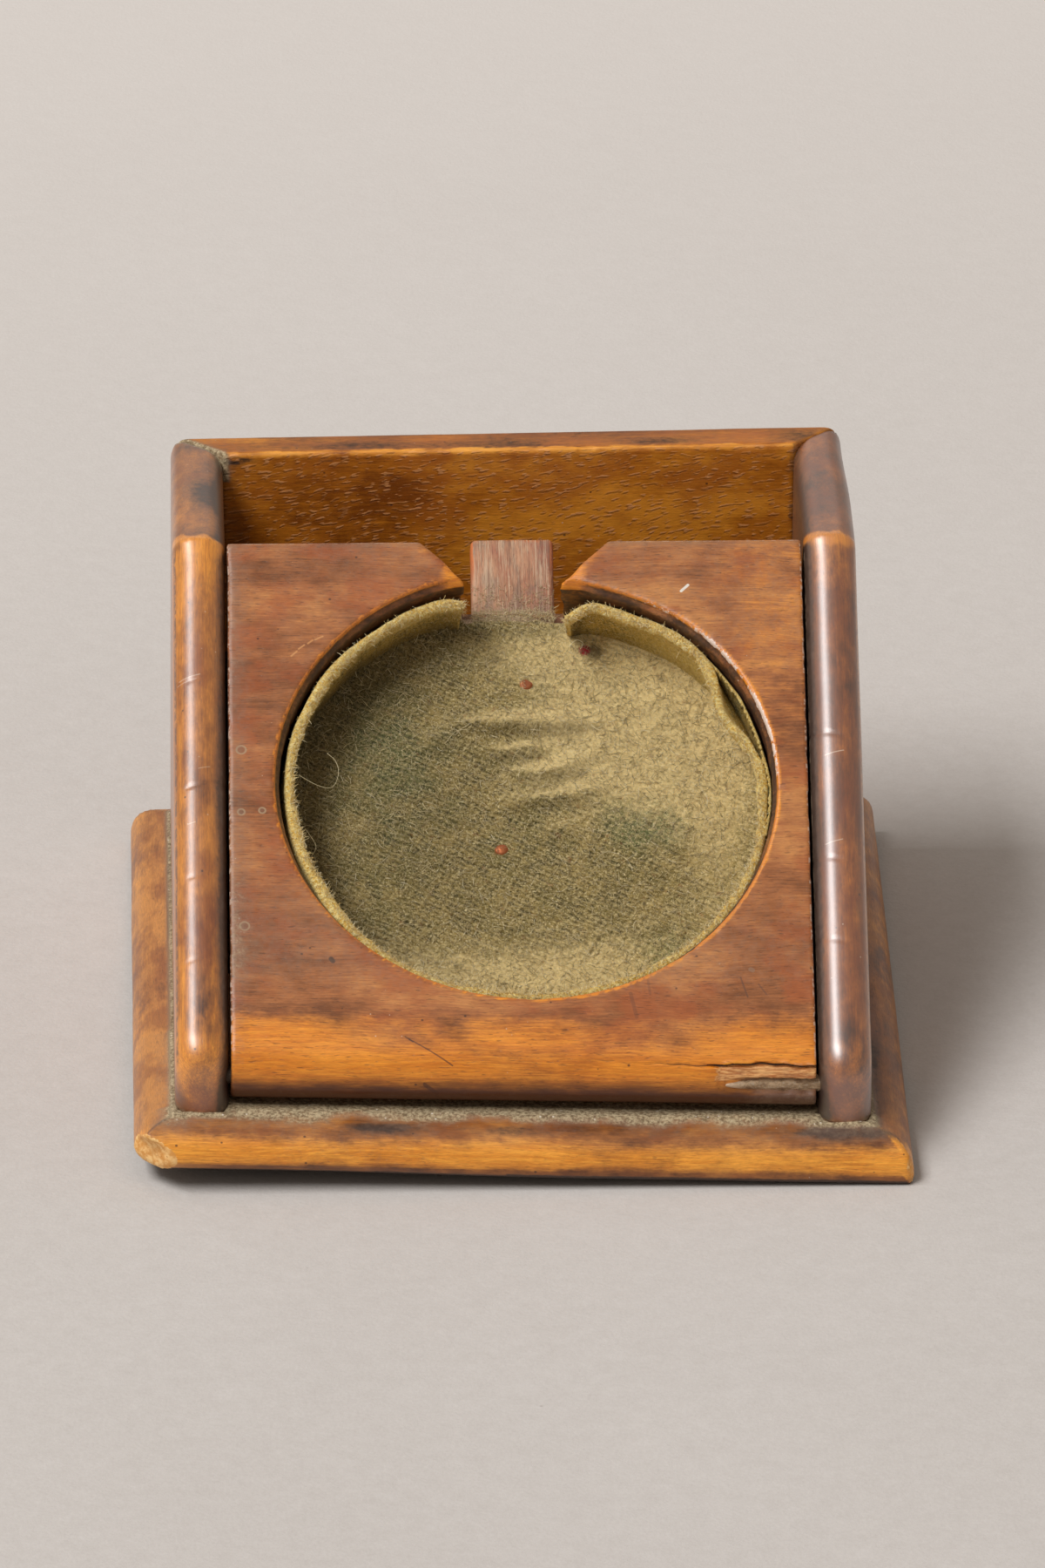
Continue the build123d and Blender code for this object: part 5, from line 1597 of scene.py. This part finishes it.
felt_wall = make(
    "felt_wall_strip", to_world(*np.concatenate([S1, S2]).T), np.concatenate([F1, F2 + len(S1)]), MAT_STRIP, "leaf", "felt_strip", "felt_wall",
    {
        "gco": gco,
        "green": np.concatenate([green_s, np.clip(green_s + 0.35, 0, 1), gs_b, gs_b]),
        "straw": np.concatenate([strip_straw_and_light, strip_straw_and_light * 0.3, zb + 0.12, zb]),
        "shade": np.concatenate([shade_s, shade_s, 0.30 + 0.25 * smooth(0.6, 0.2, hb), 0.3 + zb]),
        "cream": np.concatenate([cream, cream, cream_b, cream_b]),
    },
)


# ---- loose fibres
def prisms(pts, radii, sides, pick):
    """Thin three-sided threads. pts: list of (n, 3) stations, radii: list of (n,) radii."""
    n = len(pts[0])
    k = len(pts)
    P = []
    for i in range(k):
        d = pts[min(i + 1, k - 1)] - pts[max(i - 1, 0)]
        d /= np.maximum(np.linalg.norm(d, axis=1), 1e-9)[:, None]
        a = sides - d * (sides * d).sum(1)[:, None]
        a /= np.maximum(np.linalg.norm(a, axis=1), 1e-9)[:, None]
        b = np.cross(d, a)
        for j in range(3):
            ang = 2 * math.pi * j / 3
            P.append(pts[i] + (a * math.cos(ang) + b * math.sin(ang)) * radii[i][:, None])
    P = np.stack(P, 1)
    per = k * 3
    base = np.arange(n)[:, None] * per
    F = []
    for i in range(k - 1):
        for j in range(3):
            j2 = (j + 1) % 3
            F.append(base + np.array([[i * 3 + j, i * 3 + j2, (i + 1) * 3 + j2, (i + 1) * 3 + j]]))
    caps = np.concatenate([base + np.array([[0, 2, 1]]), base + np.array([[per - 3, per - 2, per - 1]])])
    return P.reshape(-1, 3), np.concatenate(F).tolist() + caps.tolist(), np.repeat(pick, per)


def fibres(name, roots, dirs, length, radius, curl, seed, material, node_slot, segs=3, extra=(), lo=0.0, hi=1.0):
    rng = np.random.default_rng(seed)
    n = len(roots)
    d = dirs / np.linalg.norm(dirs, axis=1)[:, None]
    side = np.cross(d, rng.normal(size=(n, 3)))
    side /= np.linalg.norm(side, axis=1)[:, None]
    pts = [roots]
    cur, direction = roots.copy(), d.copy()
    for k in range(segs):
        direction = direction + side * (curl[:, None] * rng.uniform(0.4, 1.2, (n, 1)))
        direction /= np.linalg.norm(direction, axis=1)[:, None]
        cur = cur + direction * length[:, None] / segs
        pts.append(cur)
    shape = np.linspace(1.0, 0.35, segs + 1)
    shape[0] = 0.7
    P, faces, pick = prisms(pts, [radius * q for q in shape], side, rng.uniform(lo, hi, n))
    for line, r, tone in extra:
        line = np.array(line, float)
        # a smooth thread through the listed points
        q = np.linspace(0, len(line) - 1, 6 * (len(line) - 1) + 1)
        fine = []
        for v in q:
            i = min(int(v), len(line) - 2)
            w = v - i
            p0, p1, p2, p3 = line[max(i - 1, 0)], line[i], line[i + 1], line[min(i + 2, len(line) - 1)]
            fine.append(0.5 * (2 * p1 + (p2 - p0) * w + (2 * p0 - 5 * p1 + 4 * p2 - p3) * w * w + (3 * p1 - p0 - 3 * p2 + p3) * w**3))
        st = [np.array([f]) for f in fine]
        P2, f2, k2 = prisms(st, [np.array([r])] * len(st), np.array([[0.3, 0.2, 1.0]]), np.array([tone]))
        faces = faces + [[i + len(P) for i in f] for f in f2]
        P, pick = np.concatenate([P, P2]), np.concatenate([pick, k2])
    return raw_make(name, to_world(*P.T), faces, material, "leaf", node_slot, (), {"pick": pick, "gco": P})


for half_, seed_ in ((0, 7), (1, 17)):
    rng = np.random.default_rng(seed_)
    n = 8600
    rr = 26.0 * np.sqrt(rng.uniform(0, 1, n))
    aa = rng.uniform(0, 2 * np.pi, n)
    rx, rs = HOLE[0] + rr * np.sin(aa), HOLE[1] + rr * np.cos(aa)
    nap_straw_and_light = felt_tones(rx, rs)[1]
    keep = rng.uniform(0, 1, n) < 0.45 + 0.50 * np.clip(nap_straw_and_light, 0, 1)
    keep &= (rr < hole_edge(rx, rs) - 0.6) & ((rs < 60.4) | (np.abs(rx) > 7.0))
    rx, rs = rx[keep], rs[keep]
    n = len(rx)
    roots = np.stack([rx, rs, -9.72 + felt_relief(rx, rs) + 0.02], -1)
    dirs = np.stack([rng.normal(size=n), rng.normal(size=n), 0.20 + 0.30 * rng.uniform(size=n)], -1)
    fibres(
        "felt_nap_fibres_" + ("a", "b")[half_], roots, dirs, rng.uniform(0.45, 1.55, n), rng.uniform(0.020, 0.040, n), rng.normal(0, 0.50, n),
        8 + seed_, MAT_FIBRE, "felt", segs=4,
        extra=(
            (((-7.6, 45.0, -9.3), (-6.4, 46.4, -9.1), (-5.0, 46.6, -9.2)), 0.024, 0.9),
            (((8.2, 30.0, -9.4), (9.6, 31.2, -9.2), (11.6, 30.4, -9.2), (12.4, 28.8, -9.3)), 0.022, 1.0),
            (((20.5, 42.0, -9.0), (19.8, 39.6, -8.8), (20.6, 37.4, -8.8), (19.6, 35.6, -9.0)), 0.020, 0.95),
        ) if half_ == 0 else (),
    )

rng = np.random.default_rng(27)
n = 6200
ft = rng.uniform(0, 1, n)
ft[:420] = rng.uniform(0.975, 1.0, 420) ** 0.5
ft[420:800] = rng.uniform(0.0, 0.02, 380)
fh = np.clip(1 - np.abs(rng.normal(0, 0.045, n)), 0.6, 1.0)
fh[:800] = 1 - rng.uniform(0, 0.75, 800) ** 1.4
ex, es, en = strip_line(ft, fh)
th = np.radians(T0 + (T1 - T0) * ft)
inw = np.stack([-np.sin(th), -np.cos(th), 0 * th], -1)
tang = np.stack([np.cos(th), -np.sin(th), 0 * th], -1)
roots = np.stack([ex, es, en], -1) + inw * rng.uniform(-0.30, 0.42, (n, 1))
dirs = inw * rng.uniform(-0.5, 1.1, (n, 1)) + tang * rng.normal(0, 0.7, (n, 1)) + np.array([[0, 0, 1.0]]) * rng.uniform(0.0, 1.0, (n, 1))
fray = fibres(
    "felt_frayed_edge", roots, dirs, rng.uniform(0.30, 0.95, n), rng.uniform(0.026, 0.050, n), rng.normal(0, 0.45, n),
    9, MAT_FRAY, "felt_strip", segs=4,
    extra=(
        (((-23.6, 37.4, -3.6), (-21.6, 36.6, -4.4), (-20.0, 36.6, -4.8), (-19.3, 38.2, -4.6), (-19.6, 39.6, -4.3), (-20.5, 40.4, -4.0)), 0.026, 0.8),
        (((-22.9, 31.0, -4.4), (-21.8, 29.4, -5.2), (-22.4, 28.2, -5.6)), 0.026, 0.7),
        (((17.4, 52.6, -4.4), (18.2, 53.8, -3.9), (19.4, 53.2, -3.6)), 0.028, 0.6),
        (((20.0, 50.6, -4.4), (21.4, 50.0, -4.0), (21.0, 48.2, -4.2)), 0.026, 0.5),
        (((6.0, 57.0, -8.9), (6.8, 57.5, -8.4), (7.5, 57.2, -8.6), (7.2, 56.6, -8.9)), 0.034, 1.0),
    ),
)

# ---- fluff caught at the foot of the lath
rng = np.random.default_rng(37)
n = 1500
fx_ = rng.uniform(-4.4, 4.6, n)
far = rng.uniform(0, 1, n) < 0.4
fs_ = np.where(far, 62.6 + 4.5 * rng.uniform(0, 1, n) ** 1.6, rng.uniform(60.3, 62.0, n))
roots = np.stack([fx_, fs_, np.where(far, -12.68, -9.66)], -1)
dirs = np.stack([rng.normal(0, 0.8, n), rng.normal(0.2, 0.5, n), rng.uniform(-0.1, 0.7, n)], -1)
fibres("lath_foot_fluff", roots, dirs, rng.uniform(0.25, 0.75, n), rng.uniform(0.018, 0.032, n), rng.normal(0, 0.5, n), 38, MAT_FIBRE, "felt", lo=0.35)


# ------------------------------------------------------------------ floor, light, camera
def paper():
    g = Graph("floor_paper")
    tc = g.nt.nodes.new("ShaderNodeTexCoord").outputs["Object"]
    a = g.noise(tc, 9.0, 3.0, 0.5)
    b = g.noise(tc, 420.0, 3.0, 0.7)
    c = g.noise(tc, 2200.0, 2.0, 0.6)
    v = g.add(g.math("MULTIPLY", a, 0.35), g.math("MULTIPLY", b, 0.35), g.math("MULTIPLY", c, 0.30))
    col = g.ramp(v, [(0.30, lin(198, 192, 187)), (0.70, lin(213, 208, 204))])
    spec = g.voronoi(g.vec("MULTIPLY", tc, (48.0, 48.0, 48.0)), 1.0)
    col = g.mix(g.remap(spec, 0.010, 0.017, 0.45, 0.0), col, lin(140, 126, 116))
    flk = g.voronoi(g.vec("ADD", g.vec("MULTIPLY", tc, (30.0, 30.0, 30.0)), (7.3, 2.1, 0.0)), 1.0)
    col = g.mix(g.remap(flk, 0.007, 0.011, 0.8, 0.0), col, lin(248, 244, 238))
    # painted light: the sheet is painted lighter towards the back, where more light falls
    col = g.mix(g.remap(g.split(tc)[1], 0.02, 0.42, 0.0, 0.85, "LINEAR"), col, lin(236, 230, 225))
    g.put(g.bsdf, "Base Color", col)
    g.bsdf.inputs["Roughness"].default_value = 0.9
    g.bsdf.inputs["Specular IOR Level"].default_value = 0.2
    g.put(g.bsdf, "Normal", g.bump(g.math("ADD", b, c), 0.25, 0.0002))
    return g.mat


me = bpy.data.meshes.new("floor")
NF = 24
gx, gy = np.meshgrid(np.linspace(-4, 4, NF), np.linspace(-3, 9, NF), indexing="ij")
rock = 0.8 * (gx.ravel() / 0.0415 + gy.ravel() / 0.0465) / 2
me.from_pydata(np.stack([gx.ravel(), gy.ravel(), (rock - FLOOR_DROP) / 1000], -1), [], grid_faces(NF, NF).tolist())
me.materials.append(paper())
floor = bpy.data.objects.new("floor", me)
bpy.context.scene.collection.objects.link(floor)


def softbox(name, towards, away, level, width, length, power, colour=(1, 1, 1)):
    """An area light at a distance from the origin, turned to face it. Its width runs along level."""
    z = Vector(towards).normalized()
    x_ = (Vector(level) - z * z.dot(Vector(level))).normalized()
    y_ = z.cross(x_)
    d = bpy.data.lights.new(name, "AREA")
    d.shape = "RECTANGLE"
    d.size, d.size_y = width, length
    d.energy = power
    d.color = colour
    o = bpy.data.objects.new(name, d)
    bpy.context.scene.collection.objects.link(o)
    m = Matrix.Identity(4)
    for i in range(3):
        m[i][0], m[i][1], m[i][2], m[i][3] = x_[i], y_[i], z[i], z[i] * away + (0, 0, 0.02)[i]
    o.matrix_world = m
    return o


softbox("key_softbox", (-0.488, -0.292, 0.834), 2.4, (0.834, 0.0, 0.488), 0.81, 1.70, 46.5)
softbox("back_softbox", (-0.15, 0.80, 0.58), 1.8, (1.0, 0.0, 0.0), 1.3, 0.8, 1.2)

w = bpy.data.worlds.new("studio")
bpy.context.scene.world = w
w.use_nodes = True
bg = w.node_tree.nodes["Background"]
bg.inputs[0].default_value = (0.322, 0.290, 0.258, 1)
bg.inputs[1].default_value = 1.0

az, el, roll, dist = (math.radians(-1.745), math.radians(23.217), math.radians(0.547), 1.673805)
fwd = Vector((-math.sin(az) * math.cos(el), math.cos(az) * math.cos(el), -math.sin(el)))
right = Vector((math.cos(az), math.sin(az), 0))
up = right.cross(fwd)
rx_ = right * math.cos(roll) + up * math.sin(roll)
uy_ = -right * math.sin(roll) + up * math.cos(roll)
C = Vector((0.000803, 0, 0.025827)) - fwd * dist
cam = bpy.data.cameras.new("camera")
cam.sensor_fit = "AUTO"
cam.sensor_width = 36.0
cam.lens = 17729.2 / 1800 * 36.0
cam.clip_start, cam.clip_end = 0.05, 60
co_ = bpy.data.objects.new("camera", cam)
bpy.context.scene.collection.objects.link(co_)
m4 = Matrix.Identity(4)
for i in range(3):
    m4[i][0], m4[i][1], m4[i][2], m4[i][3] = rx_[i], uy_[i], -fwd[i], C[i]
co_.matrix_world = m4
bpy.context.scene.camera = co_

sc = bpy.context.scene
sc.view_settings.view_transform = "Standard"
sc.view_settings.look = "None"
sc.view_settings.exposure = 0.0
